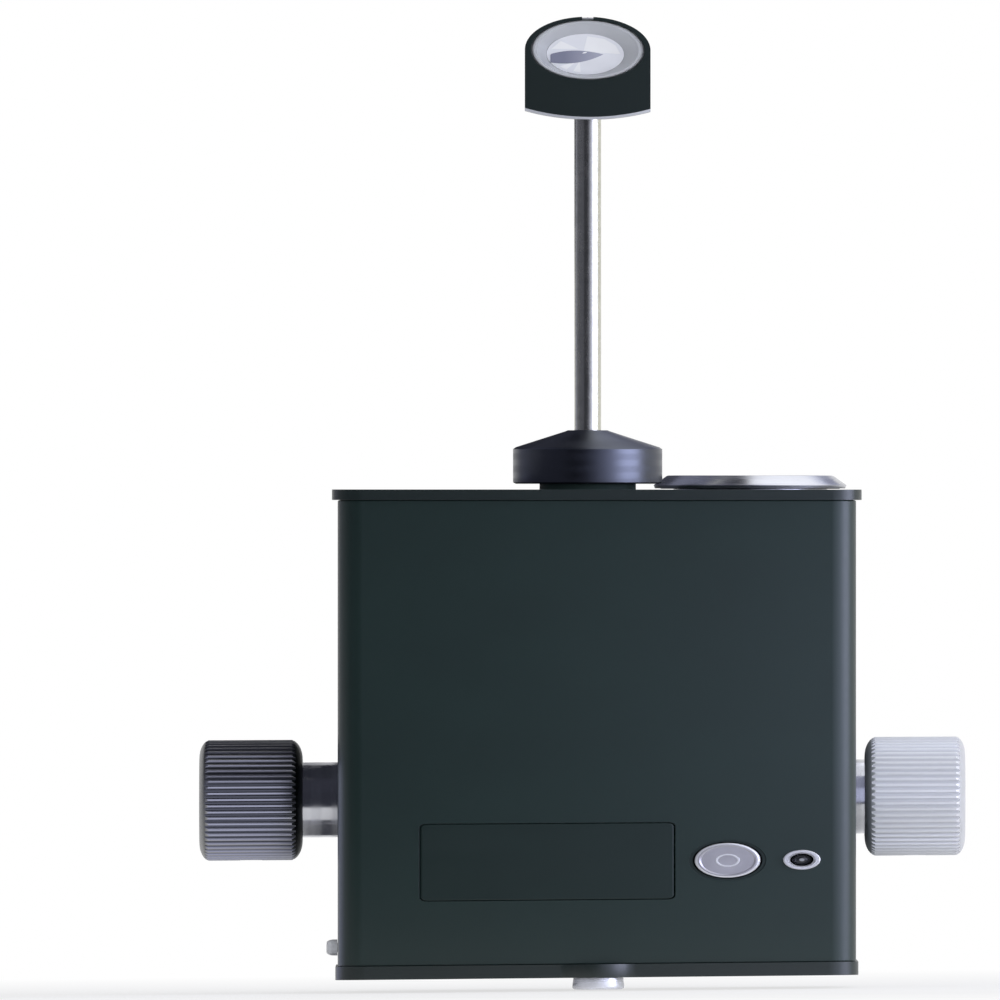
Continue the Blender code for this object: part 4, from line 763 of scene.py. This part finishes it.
def model_collar(material):
    """The dust collar: a drum with a broken lower edge, a crisp shoulder and a cone up to the rod."""
    low, high, middle, radius = measure("dust_collar")
    shoulder, roof = low.z + 7.25 * MM, low.z + 4.2 * MM
    edge, crisp, drop = 0.3 * MM, 0.1 * MM, 0.2 * MM
    cavity, bore, tip, cone = 7.0 * MM, 1.5 * MM, 2.1 * MM, 2.35 * MM
    profile = [
        (bore, high.z), (tip, high.z), (cone, high.z - drop), (radius - edge, shoulder + crisp),
        (radius, shoulder - edge), (radius, low.z + edge), (radius - edge, low.z), (cavity, low.z),
        (cavity, roof), (bore, roof),
    ]
    turn_piece("dust_collar", profile, (middle.x, middle.y, 0), "arm", "black_anodised", material, steps=128)


def model_neck(material):
    low, high, middle, flange = measure("neck_ring")
    outer, inner, edge = 5.1 * MM, 3.6 * MM, 0.15 * MM
    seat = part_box("top_plate")[0].z - sizes().seam
    profile = [(inner, high.z), (outer - edge, high.z), (outer, high.z - edge), (outer, seat)]
    profile += [(flange, seat), (flange, low.z), (inner, low.z)]
    turn_piece("neck_ring", profile, (middle.x, middle.y, 0), "frame", "black_anodised", material)


def model_holder():
    """The prism holder: a round head on a straight-sided shank with a curved belly, bored for the prism. The
    belly's front edge is bevelled and painted pale, as a painted highlight."""
    low, high, middle, half = measure("prism_holder")
    axis, front, back = centre_of("prism"), low.y - MM, high.y + MM
    belly, bore, rod_hole, rod_top = 14.3 * MM, 6.0 * MM, 1.5 * MM, low.z + 2.6 * MM
    at = (axis.x, 0, axis.z)
    holder = add_drum("prism_holder_fine", half, low.y, high.y, at, "Y", 160)
    coat = satin_coat("satin_coat_holder", colours().plate_coat, 0.32)
    # Painted highlight: a pale finish for the belly's front edge
    painted_highlight = surface("painted_edge_highlight", linear("#C8CAD0"), 0.4, grain_noise(0.6), 0.005, IOR=1.6)
    give_finishes(holder, coat, painted_highlight)
    shank = add_block("shank", (axis.x - half, low.y, low.z), (axis.x + half, high.y, axis.z))
    boolean(holder, "UNION", shank)
    belly_at = (axis.x, 0, low.z + belly)
    boolean(holder, "INTERSECT", add_drum("belly", belly, front, back, belly_at, "Y", 320))
    edit(holder, "SELECT")
    bpy.ops.mesh.dissolve_limited(angle_limit=math.radians(0.3))
    face, corner = low.y + 0.001 * MM, low.z + belly - math.sqrt(belly**2 - half**2) + 0.01 * MM
    pick(holder, "EDGE", lambda e: all(v.co.y < face and v.co.z < corner for v in e.verts))
    highlight_width, edge = 0.5 * MM, 0.35 * MM
    # The bevel takes the second finish, the painted highlight
    bpy.ops.mesh.bevel(offset=highlight_width, segments=1, affect="EDGES", material=1)
    leave_edit()
    top, notch, notch_deep = axis.z + half, 0.6 * MM, 0.55 * MM
    cut(
        holder,
        add_drum("bore", bore, front, back, at, "Y", 128),
        add_block("notch", (axis.x - notch, front, top - notch_deep), (axis.x + notch, back, top + MM)),
        add_drum("rod_hole", rod_hole, low.z - MM, rod_top, (axis.x, middle.y, 0), "Z", 48),
    )
    break_edges(holder, edge, 3, 50)
    complete(holder, "arm", "satin_black", coat, "prism_holder")


def prism_rim():
    """The radius of the prism's graduated rim, and where it starts behind the holder."""
    _, high, _, half = measure("prism_holder")
    return half - 0.05 * MM, high.y + 0.25 * MM


def model_prism():
    """The prism: a barrel with a bright front rim, a graduated rim at the holder's back and a cone to its
    tip. Its front is hollowed to the lens by a cone that leans a little to the lower left."""
    low, high, axis, _ = measure("prism")
    front, edge = low.y, 0.15 * MM
    barrel, flat, tip, root = 5.85 * MM, 3.4 * MM, 3.53 * MM, 5.25 * MM
    rim, rim_front = prism_rim()
    cone = rim_front + 2.6 * MM
    profile = [
        (0, high.y), (flat, high.y), (tip, high.y - edge), (root, cone), (rim - edge, cone),
        (rim, cone - edge), (rim, rim_front + edge), (rim - edge, rim_front), (barrel, rim_front),
        (barrel, front + edge), (barrel - edge, front), (0, front),
    ]
    prism = turn_profile("prism_barrel", profile, (axis.x, 0, axis.z), "Y", 128)
    deep, mouth, floor, over = 1.6 * MM, 5.42 * MM, 4.1 * MM, 0.05 * MM
    hollow = add_drum("hollow", mouth, -over, deep, (axis.x, front, axis.z), "Y", 128, floor)
    lean = Vector((-0.25, 0, -0.85)) * MM
    edit(hollow)
    pick(hollow, "VERT", lambda v: v.co.y > front + deep / 2)
    bpy.ops.transform.translate(value=lean)
    leave_edit()
    cut(prism, hollow)
    milky = prism_acrylic("ground_acrylic", colours().prism, 0.25, 0.15)
    give_finishes(prism, milky, prism_acrylic("clear_acrylic_tip", linear("#EEF0F4"), 0.06, 0.65))
    finish_faces(prism, 1, lambda at: at.y > cone + edge)
    complete(prism, "prism", "clear_acrylic", milky, "prism")
    return Vector((axis.x, front + deep, axis.z)) + lean


def model_prism_marks():
    """Angle marks inked round the prism's rim, behind the holder."""
    axis, count = centre_of("prism"), sizes().marks
    rim, rim_front = prism_rim()
    half, ink, length, top = 0.08 * MM, 0.03 * MM, 1.3 * MM, axis.z + rim
    low = Vector((axis.x - half, rim_front + 0.45 * MM, top - 3 * ink))
    marks = add_block("prism_marks", low, low + Vector((2 * half, length, 4 * ink)))
    edit(marks, "SELECT")
    angle = FULL_TURN * (count - 1) / count
    bpy.ops.mesh.spin(steps=count - 1, dupli=True, angle=angle, center=axis, axis=(0, 1, 0))
    leave_edit()
    complete(marks, "prism", "satin_black", moulded_plastic("mark_ink", linear("#15171A"), 0.5))


def leaf_outline(start, end, width, steps=10):
    """The outline between two arcs that meet at start and end, as (x, z) points."""
    start, end = Vector(start), Vector(end)
    side = Vector((start.y - end.y, end.x - start.x)).normalized() * width / 2
    shares = [i / steps for i in range(steps + 1)]
    upper = [start.lerp(end, t) + side * 4 * t * (1 - t) for t in shares]
    lower = [start.lerp(end, t) - side * 4 * t * (1 - t) for t in shares[1:-1]]
    return [tuple(point) for point in upper + lower[::-1]]


def model_prism_lens(middle):
    """The polished lens in the hollow, painted near white as painted light, and the facets of the doubling
    prism
    behind it as painted plates: a dark leaf of painted shade, pale wedges of painted light and a painted
    glint."""
    radius, back, edge, crown = 4.08 * MM, -0.02 * MM, -0.08 * MM, -0.18 * MM
    profile = [(0, back), (radius, back), (radius, edge), (0.7 * radius, crown), (0, crown)]
    lens = turn_profile("prism_lens", profile, middle, "Y", 96)
    # Painted light: the lens is near white for the light seen through it
    complete(lens, "prism", "clear_acrylic", prism_acrylic("polished_acrylic_painted_light", linear("#F0F1F5"), 0.12, 0.1))
    face = middle.y - 0.2 * MM
    # Painted light: the pale wedges and the glint are white plates for the bright light seen in the prism
    pale = prism_acrylic("prism_painted_light", linear("#FFFFFF"), 0.12, 0.1)
    blunt_end, deep = -3.7, 0.05
    leaf = [(max(x, blunt_end), z) for x, z in leaf_outline((-5.2, -1.2), (1.9, 0.0), 2.5, 16)]
    # Name, outline about the middle, front and back from the face, all in millimetres, and finish
    facets = (
        ("prism_wedge_upper", [(-3.6, 1.0), (-2.6, 2.6), (-0.7, 1.0)], 0, deep, pale),
        ("prism_wedge_right", [(-0.2, 0.5), (0.2, 3.6), (2.0, 3.1), (3.2, 1.8), (3.7, 0.1)], 0, deep, pale),
        ("prism_wedge_lower", [(-0.9, -1.4), (-2.7, -2.5), (-2.0, -3.1)], 0, deep, pale),
        ("prism_wedge_low", [(-0.6, -1.4), (-1.3, -3.45), (-0.5, -3.65)], 0, deep, pale),
        ("prism_leaf", leaf, -0.03, deep, facet_shade("prism")),
        ("prism_painted_glint", leaf_outline((-0.35, 0.15), (0.2, 0.45), 0.25, 4), -0.06, 0, pale),
    )
    for name, points, front, back, material in facets:
        outline = [(middle.x + x * MM, face + front * MM, middle.z + z * MM) for x, z in points]
        complete(add_plate(name, outline, (0, (back - front) * MM, 0)), "prism", "clear_acrylic", material)


# Front controls and battery cap


def model_window():
    low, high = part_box("display_window")
    edge = 0.28 * MM
    pane = add_block("display_pane", low, high)
    bevel_edges(pane, along(1), WINDOW_CORNER, 6)
    break_edges(pane, edge, 3)
    complete(pane, "frame", "smoked_acrylic", smoked_pane(), "display_window")


def model_button():
    """The push button: a rolled rim, a faintly dished face and a ring round its middle. The rim and the ring
    are painted lighter, as painted highlights.
    """
    low, high, middle, flange = measure("push_button")
    face, radius, rim, stem = low.y, 3.5 * MM, 0.3 * MM, 1.3 * MM
    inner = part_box("housing")[0].y + sizes().wall + 0.25 * MM
    flange_back, dish, bead = inner + 0.9 * MM, face + 0.14 * MM, face + 0.04 * MM
    profile = [(0, high.y), (stem, high.y), (stem, flange_back), (flange, flange_back), (flange, inner)]
    profile += [(radius, inner), *rounded(radius - rim, face + rim, rim, 0, -90, 3)]
    land, dish_edge, ring = 3.0 * MM, 2.8 * MM, [v * MM for v in (1.3, 1.24, 1.08, 1.02)]
    profile += [(land, face), (dish_edge, dish), *zip(ring, (dish, bead, bead, dish)), (0, dish)]
    button = turn_profile("push_button_fine", profile, (middle.x, 0, middle.z), "Y", 128)
    ringed = ringed_aluminium("push_button")
    give_finishes(
        button, ringed, moulded_plastic("painted_shade_black", linear("#0C0D0F"), 0.6),
        turned_metal("button_rim_painted_highlight", linear("#E6E7EC"), 0.3, "Y", 0.3, 0.4),
    )
    shade_from, rim_to, in_rim, past_bead = face + 1.2 * MM, face + 0.5 * MM, 3.1 * MM, 1.4 * MM
    # Painted shade: the flange behind the face is black, so that the gap round the button looks dark
    finish_faces(button, 1, lambda at: at.y > shade_from)
    # Painted highlights: the rim and the ring round the middle get the lighter finish
    finish_faces(button, 2, lambda at: at.y < rim_to and (at - middle).xz.length > in_rim)
    finish_faces(button, 2, lambda at: at.y < dish - MERGE and (at - middle).xz.length < past_bead)
    complete(button, "button", "turned_aluminium", ringed, "push_button")


def model_indicator():
    """The lamp's steel bezel, and its dark domed lens with a painted glint in the middle."""
    low, high, middle, outer = measure("indicator_bezel")
    at, seat = (middle.x, 0, middle.z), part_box("housing")[0].y - 0.04 * MM
    inner, barrel, edge, slope, slope_deep = 1.25 * MM, 1.6 * MM, 0.12 * MM, 0.25 * MM, 0.35 * MM
    profile = [(barrel, high.y), (barrel, seat), (outer, seat), (outer, low.y + edge), (outer - edge, low.y)]
    profile += [(inner + slope, low.y), (inner, low.y + slope_deep), (inner, high.y)]
    steel = turned_metal("satin_steel_bezel", linear("#D2D3D8"), 0.34, "Y", 0.3, 0.5)
    turn_piece("indicator_bezel", profile, at, "frame", "polished_steel", steel, "Y")
    low, high, _, radius = measure("indicator_led")
    crown, glint_radius, turns = 0.8 * radius, 0.4 * MM, [math.radians(15 * i) for i in range(7)]
    profile = [(0, high.y), (radius, high.y)]
    profile += [(radius * math.cos(a), low.y + crown * (1 - math.sin(a))) for a in turns]
    dome = turn_profile("indicator_lens", profile, at, "Y", 64)
    tint = moulded_plastic("dark_epoxy_lens", linear("#24272B"), 0.12, 1.0)
    give_finishes(dome, tint, moulded_plastic("painted_glint_on_lens", linear("#9A9DA2"), 0.12, 1.0))
    # Painted highlight: the faces in the middle of the dome get the pale finish
    finish_faces(dome, 1, lambda at: at.y < high.y - MERGE and (at - middle).xz.length < glint_radius)
    complete(dome, "frame", "smoked_acrylic", tint, "indicator_led")


def model_battery_cap():
    """The battery cap: a thin upright rim, a broad polished chamfer and a flat top with a fine turned
    groove."""
    low, high, axis, radius = measure("battery_cap")
    top, under = high.z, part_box("top_plate")[1].z + 0.25 * MM
    rim, roof, flat, groove = under + 0.7 * MM, under + 0.2 * MM, radius - 1.5 * MM, top - 0.12 * MM
    edge, undercut, skirt, well = 0.1 * MM, 0.15 * MM, 8.2 * MM, 7.45 * MM
    ring = [v * MM for v in (6.4, 6.5, 6.7, 6.8)]
    profile = [
        (0, top), *zip(ring, (top, groove, groove, top)), (flat - edge, top), (flat + edge, top - edge),
        (radius - edge, rim + edge), (radius, rim - edge), (radius - undercut, under), (skirt, under),
        (skirt, low.z), (well, low.z), (well, roof), (0, roof),
    ]
    steel = turned_metal("polished_steel_cap", colours().steel, 0.26, "Z", 0.3)
    turn_piece("battery_cap", profile, (axis.x, axis.y, 0), "cap", "polished_steel", steel, steps=160)


def model_force_spring():
    """The force spring's coil in two halves, split at its middle: the front one is set on no body and has its
    place set into its mesh, and the rear one is set on the frame."""
    low, high, axis, reach = measure("force_spring")
    wire, turns = 0.15 * MM, 2
    front, rear, steps = low.y + wire, high.y - wire, 32 * turns
    steel = turned_metal("spring_steel", linear("#8E9094"), 0.3, "Y", 0.4)
    halves = []
    for name, start, end in (("force_spring_front", front, axis.y), ("force_spring_rear", axis.y, rear)):
        deselect()
        bpy.ops.mesh.primitive_circle_add(
            vertices=12, radius=wire, fill_type="NGON", location=(reach - wire, 0, 0),
            rotation=(math.pi / 2, 0, 0),
        )
        half = take_new(name)
        apply_modifier(
            half, "SCREW", angle=turns * FULL_TURN, screw_offset=end - start, steps=steps, render_steps=steps,
            use_merge_vertices=False,
        )
        edit(put(half, (axis.x, start, axis.z), "Y"), "SELECT")
        bpy.ops.mesh.fill_holes(sides=0)
        leave_edit()
        halves.append(half)
    complete(halves[0], None, "zinc_steel", steel, "force_spring")
    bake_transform(halves[0])
    complete(halves[1], "frame", "zinc_steel", steel, "force_spring")
    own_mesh(halves[1])


def finish_inner_pieces():
    """Gives the pieces inside the housing, which keep the frame's shapes, their own finishes."""
    finishes = (
        (
            turned_metal("ground_steel", colours().steel, 0.24, "X", 0.5),
            "knob_shaft arm_axle left_arm_bearing right_arm_bearing force_plunger",
        ), (
            turned_metal("zinc_plated_fixings", linear("#A9ABB0"), 0.36, "Z", 0.5),
            "left_grub_screw right_grub_screw counterweight_screw front_stop_pin rear_stop_pin board_screw_1 "
            "board_screw_2 cell_spring",
        ), (
            turned_metal("machined_aluminium", linear("#B9BCC2"), 0.34, "Z", 0.6),
            "chassis force_cam balance_lever cap_ring",
        ),
        (turned_metal("turned_brass", linear("#C2A35C"), 0.3, "Z", 0.5), "counterweight cap_contact"),
        (
            moulded_plastic("black_nylon", linear("#16171A"), 0.45),
            "encoder_disc encoder_sensor display_module tact_switch switch_plunger battery_tube",
        ),
        (moulded_plastic("black_rubber", linear("#141414"), 0.75), "cap_seal"),
        (moulded_plastic("cell_sleeve", linear("#3E5566"), 0.32, 0.8), "battery_cell"),
        (board_laminate(), "circuit_board"),
    )
    for material, nodes in finishes:
        for node in nodes.split():
            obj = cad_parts[node]
            if not obj.data.materials:
                obj.data.materials.append(material)
            for place in obj.material_slots:
                place.material = material


# Stage


LIGHT_COLOUR = (0.86, 0.89, 1.0)
SHEEN_COLOUR = (0.72, 0.75, 1.0, 1)
# Name, corner, side across, side up, light at the two ends of the width, and the shares it changes between
CARDS = (
    ("front_flag", (-2.5, -1.0, -1.2), (3.35, 0, 0), (0, 0, 3.4), (0.17, 0.17)),
    ("upper_sheen", (-0.08, -0.11, 0.1), (0.2, 0, 0), (0, 0, 0.25), (0.06, 1.85), (0.44, 1)),
    ("lower_sheen", (-0.08, -0.11, 0.001), (0.2, 0, 0), (0, 0, 0.099), (0.05, 2.9), (0.35, 1)),
    ("knob_sheen", (-0.062, 0.007, 0.001), (0.0292, 0, 0), (0, 0, 0.0445), (1.4, 1.4)),
    ("back_flag", (-1.5, 0.6, 0.15), (1.47, 0, 0), (0, 0, 0.45), (0.08, 0.08)),
    ("far_flag", (0.1, 0.6, 0.35), (0.9, 0, 0), (0, 0, 0.8), (0.55, 0.55)),
    ("left_flag", (-1.0, -1.0, 0.0), (0, 2.0, 0), (0, 0, 2.2), (0.17, 0.52), (0.6, 0.72)),
    ("top_flag", (-1.5, -1.0, 0.6), (1.5, 0, 0), (0, 1.6, 0), (0.35, 0.04), (0.75, 0.95)),
    ("table_flag", (-1.5, -1.0, 0.0005), (3.0, 0, 0), (0, 0.93, 0), (0.08, 0.08)),
    # Painted shadow: the dark card under the object stands for its shadow on the floor in reflections
    ("under_flag", (-0.0312, 0.0, 0.0007), (0.028, 0, 0), (0, 0.06, 0), (0.06, 0.06)),
    ("right_card", (0.5, -0.58, -0.15), (0, 0.56, 0), (0, 0, 0.42), (0.3, 7.2), (0, 0.45)),
)
# Name, place, aim, width, height, power, and whether it shows in reflections
LAMPS = (
    ("right_panel", (0.5, -0.25, 0.3), (0, -0.1, 0.2), 0.9, 0.8, 1.6, False),
    ("front_fill", (0.15, -1.4, 0.25), (0, 0, 0.1), 1.0, 1.0, 9.5, False),
    ("top_panel", (0.37, 0.0, 0.5), (0.37, 0.0, 0.0), 0.7, 0.8, 1.4, True),
)


def reflector(name, corner, across, up, levels, fade=(0, 1)):
    """A card that only shows in reflections, as a studio's flags and panels do. Its corner and two sides give
    its place. Its light runs from the first level to the second between two shares of its width."""
    corner, across, up = Vector(corner), Vector(across), Vector(up)
    deselect()
    bpy.ops.mesh.primitive_plane_add(size=1)
    card = take_new(name)
    sides = Matrix((across, up, across.cross(up).normalized())).transposed().to_4x4()
    card.matrix_world = Matrix.Translation(corner + (across + up) / 2) @ sides
    bpy.ops.object.transform_apply(location=True, rotation=True, scale=True)
    material, tree = new_material(name)
    tree.nodes.remove(tree.nodes["Principled BSDF"])
    place = add_node(tree, "ShaderNodeTexCoord").outputs["UV"]
    width = add_node(tree, "ShaderNodeSeparateXYZ", {}, {0: place}).outputs["X"]
    values = {"From Min": fade[0], "From Max": fade[1], "To Min": levels[0], "To Max": levels[1]}
    level = add_node(tree, "ShaderNodeMapRange", values, {"Value": width}).outputs["Result"]
    glow = add_node(tree, "ShaderNodeEmission", {"Color": SHEEN_COLOUR}, {"Strength": level})
    tree.links.new(glow.outputs[0], tree.nodes["Material Output"].inputs["Surface"])
    card.data.materials.append(material)
    for rays in ("camera", "diffuse", "shadow", "transmission"):
        setattr(card, f"visible_{rays}", False)


def looking_rays(tree):
    """One for the rays that look, from the camera or by way of metal and glass, and zero for the rest."""
    rays = add_node(tree, "ShaderNodeLightPath").outputs
    seen = rays["Is Camera Ray"]
    for kind in ("Is Glossy Ray", "Is Transmission Ray"):
        seen = add_node(tree, "ShaderNodeMath", {"operation": "MAXIMUM"}, {0: seen, 1: rays[kind]}).outputs[0]
    return seen


def lay_floor():
    """A pale floor under the pin. It keeps the shadow near the object and runs out to plain white."""
    radius, drop = 3.0, 0.3 * MM
    near, far, shade, white = 0.05, 0.3, 0.7, 1.0
    deselect()
    bpy.ops.mesh.primitive_circle_add(vertices=96, radius=radius, fill_type="NGON", location=(0, 0, -drop))
    floor = take_new("floor")
    material, tree = new_material("white_floor")
    shader = tree.nodes["Principled BSDF"]
    shader.inputs["Base Color"].default_value = (0.9, 0.9, 0.91, 1)
    shader.inputs["Roughness"].default_value = 0.8
    place = add_node(tree, "ShaderNodeTexCoord").outputs["Object"]
    reach = add_node(tree, "ShaderNodeVectorMath", {"operation": "LENGTH"}, {0: place}).outputs["Value"]
    values = {"From Min": near, "From Max": far, "To Min": shade, "To Max": white}
    fade = add_node(tree, "ShaderNodeMapRange", values, {"Value": reach}).outputs[0]
    links = {0: fade, 1: looking_rays(tree)}
    share = add_node(tree, "ShaderNodeMath", {"operation": "MULTIPLY"}, links).outputs[0]
    glow = add_node(tree, "ShaderNodeEmission", {"Color": (1, 1, 1, 1), "Strength": white}).outputs[0]
    mix = add_node(tree, "ShaderNodeMixShader", {}, {0: share, 1: shader.outputs[0], 2: glow})
    tree.links.new(mix.outputs[0], tree.nodes["Material Output"].inputs["Surface"])
    floor.data.materials.append(material)


def light_world():
    """White where the camera, metal and glass look, and a low ambient level on the surfaces."""
    world = bpy.data.worlds.new("studio")
    bpy.context.scene.world = world
    world.use_nodes = True
    tree = world.node_tree
    sky = tree.nodes["Background"].inputs
    ambient, white = 0.32, 1.0
    values = {"To Min": ambient, "To Max": white}
    level = add_node(tree, "ShaderNodeMapRange", values, {"Value": looking_rays(tree)})
    sky["Color"].default_value = (1, 1, 1, 1)
    tree.links.new(level.outputs["Result"], sky["Strength"])


def add_softbox(name, at, aim, width, height, power, glossy):
    data = bpy.data.lights.new(name, "AREA")
    data.shape = "RECTANGLE"
    data.size, data.size_y = width, height
    data.energy, data.color = power, LIGHT_COLOUR
    lamp = bpy.data.objects.new(name, data)
    bpy.context.scene.collection.objects.link(lamp)
    lamp.location = at
    lamp.rotation_euler = (Vector(aim) - Vector(at)).to_track_quat("-Z", "Y").to_euler()
    lamp.visible_camera, lamp.visible_glossy = False, glossy


def set_camera():
    """A long lens from straight ahead. The photograph is stretched sideways, so the camera's axes lean by a
    shear that its parent holds: the round parts then come out as wide as in the photograph, and the part
    itself keeps its true proportions."""
    distance, frame_width, stretch, sensor = 8.0, 0.2, 1.9, 36
    middle_x, middle_z = -10.37 * MM, 98.1 * MM
    data = bpy.data.cameras.new("camera")
    data.sensor_width, data.lens = sensor, sensor * distance / frame_width
    data.clip_start, data.clip_end = 0.1, 100
    camera = bpy.data.objects.new("camera", data)
    holder = bpy.data.objects.new("camera_holder", None)
    for obj in (camera, holder):
        bpy.context.scene.collection.objects.link(obj)
    lean = Matrix.Identity(4)
    lean[2][0] = math.tan(math.acos(1 / stretch))
    stand = Matrix.Translation((middle_x, -distance, middle_z)) @ Matrix.Rotation(math.pi / 2, 4, "X")
    camera.parent = holder
    camera.matrix_parent_inverse = stand @ lean
    bpy.context.scene.camera = camera


# Operators


class TONOMETER_OT_housing(bpy.types.Operator):
    """Model the housing, its two plates, and their screws"""

    bl_idname = "tonometer.housing"
    bl_label = "Housing and plates"

    def execute(self, context):
        coat = satin_coat("satin_plate_coat", colours().plate_coat, 0.36)
        model_housing()
        model_top_plate(coat)
        model_base_plate(coat)
        model_fasteners()
        return {"FINISHED"}


class TONOMETER_OT_mounting(bpy.types.Operator):
    """Model the mounting pin and the side stud"""

    bl_idname = "tonometer.mounting"
    bl_label = "Pin and stud"

    def execute(self, context):
        model_mounting_pin()
        model_side_stud()
        return {"FINISHED"}


class TONOMETER_OT_knobs(bpy.types.Operator):
    """Model the two fluted knobs and the bushes that their shaft turns in"""

    bl_idname = "tonometer.knobs"
    bl_label = "Knobs and bushes"

    def execute(self, context):
        dark, silver = colours().dark_knob, colours().silver_knob
        # The second colours are the painted shade in the knobs' flutes
        black = knob_metal("black_anodised_knob", dark, linear("#545556"), 0.36, "left_knob", 1.0)
        bright = knob_metal("silver_anodised_knob", silver, linear("#D3D4D8"), 0.42, "right_knob", 0.25)
        model_knob("left", "-X", "black_anodised", black)
        model_knob("right", "X", "silver_anodised", bright)
        steel = turned_metal("polished_steel_bush", linear("#CCCDD2"), 0.2, "X", 0.35)
        model_bush("left", "-X", steel)
        model_bush("right", "X", steel)
        return {"FINISHED"}


class TONOMETER_OT_arm(bpy.types.Operator):
    """Model the measuring rod, its dust collar and the neck ring"""

    bl_idname = "tonometer.arm"
    bl_label = "Rod and collar"

    def execute(self, context):
        black = turned_metal("black_anodised_collar", colours().black_metal, 0.36, "Z", 0.4)
        model_rod()
        model_collar(black)
        model_neck(black_oxide())
        return {"FINISHED"}


class TONOMETER_OT_prism(bpy.types.Operator):
    """Model the prism holder, the prism and its lens"""

    bl_idname = "tonometer.prism"
    bl_label = "Prism head"

    def execute(self, context):
        model_holder()
        model_prism_lens(model_prism())
        model_prism_marks()
        return {"FINISHED"}


class TONOMETER_OT_controls(bpy.types.Operator):
    """Model the display window, the push button and the indicator"""

    bl_idname = "tonometer.controls"
    bl_label = "Front controls"

    def execute(self, context):
        model_window()
        model_button()
        model_indicator()
        return {"FINISHED"}


class TONOMETER_OT_cap(bpy.types.Operator):
    """Model the battery cap"""

    bl_idname = "tonometer.cap"
    bl_label = "Battery cap"

    def execute(self, context):
        model_battery_cap()
        return {"FINISHED"}


class TONOMETER_OT_inside(bpy.types.Operator):
    """Model the force spring and finish the pieces inside"""

    bl_idname = "tonometer.inside"
    bl_label = "Inner pieces"

    def execute(self, context):
        model_force_spring()
        finish_inner_pieces()
        return {"FINISHED"}


class TONOMETER_OT_stage(bpy.types.Operator):
    """Set up the floor, the light and the camera"""

    bl_idname = "tonometer.stage"
    bl_label = "Stage"

    def execute(self, context):
        context.scene.view_settings.view_transform = "Standard"
        lay_floor()
        light_world()
        for card in CARDS:
            reflector(*card)
        for lamp in LAMPS:
            add_softbox(*lamp)
        set_camera()
        return {"FINISHED"}


class TONOMETER_PT_panel(bpy.types.Panel):
    """Lists the steps and the values that they read"""

    bl_idname = "TONOMETER_PT_panel"
    bl_label = "Applanation tonometer"
    bl_space_type = "VIEW_3D"
    bl_region_type = "UI"
    bl_category = "Tonometer"

    def draw(self, context):
        for step in STEPS:
            self.layout.operator(step.bl_idname)
        for group in (context.scene.tonometer_sizes, context.scene.tonometer_colours):
            box = self.layout.box()
            for name in group.__annotations__:
                box.prop(group, name)


STEPS = (
    TONOMETER_OT_housing,
    TONOMETER_OT_mounting,
    TONOMETER_OT_knobs,
    TONOMETER_OT_arm,
    TONOMETER_OT_prism,
    TONOMETER_OT_controls,
    TONOMETER_OT_cap,
    TONOMETER_OT_inside,
    TONOMETER_OT_stage,
)
CLASSES = (TonometerSizes, TonometerColours, *STEPS, TONOMETER_PT_panel)


def register():
    for item in CLASSES:
        bpy.utils.register_class(item)
    bpy.types.Scene.tonometer_sizes = bpy.props.PointerProperty(type=TonometerSizes)
    bpy.types.Scene.tonometer_colours = bpy.props.PointerProperty(type=TonometerColours)


def unregister():
    del bpy.types.Scene.tonometer_colours
    del bpy.types.Scene.tonometer_sizes
    for item in reversed(CLASSES):
        bpy.utils.unregister_class(item)


def main():
    register()
    for step in STEPS:
        group, name = step.bl_idname.split(".")
        getattr(getattr(bpy.ops, group), name)()


if __name__ == "__main__":
    main()
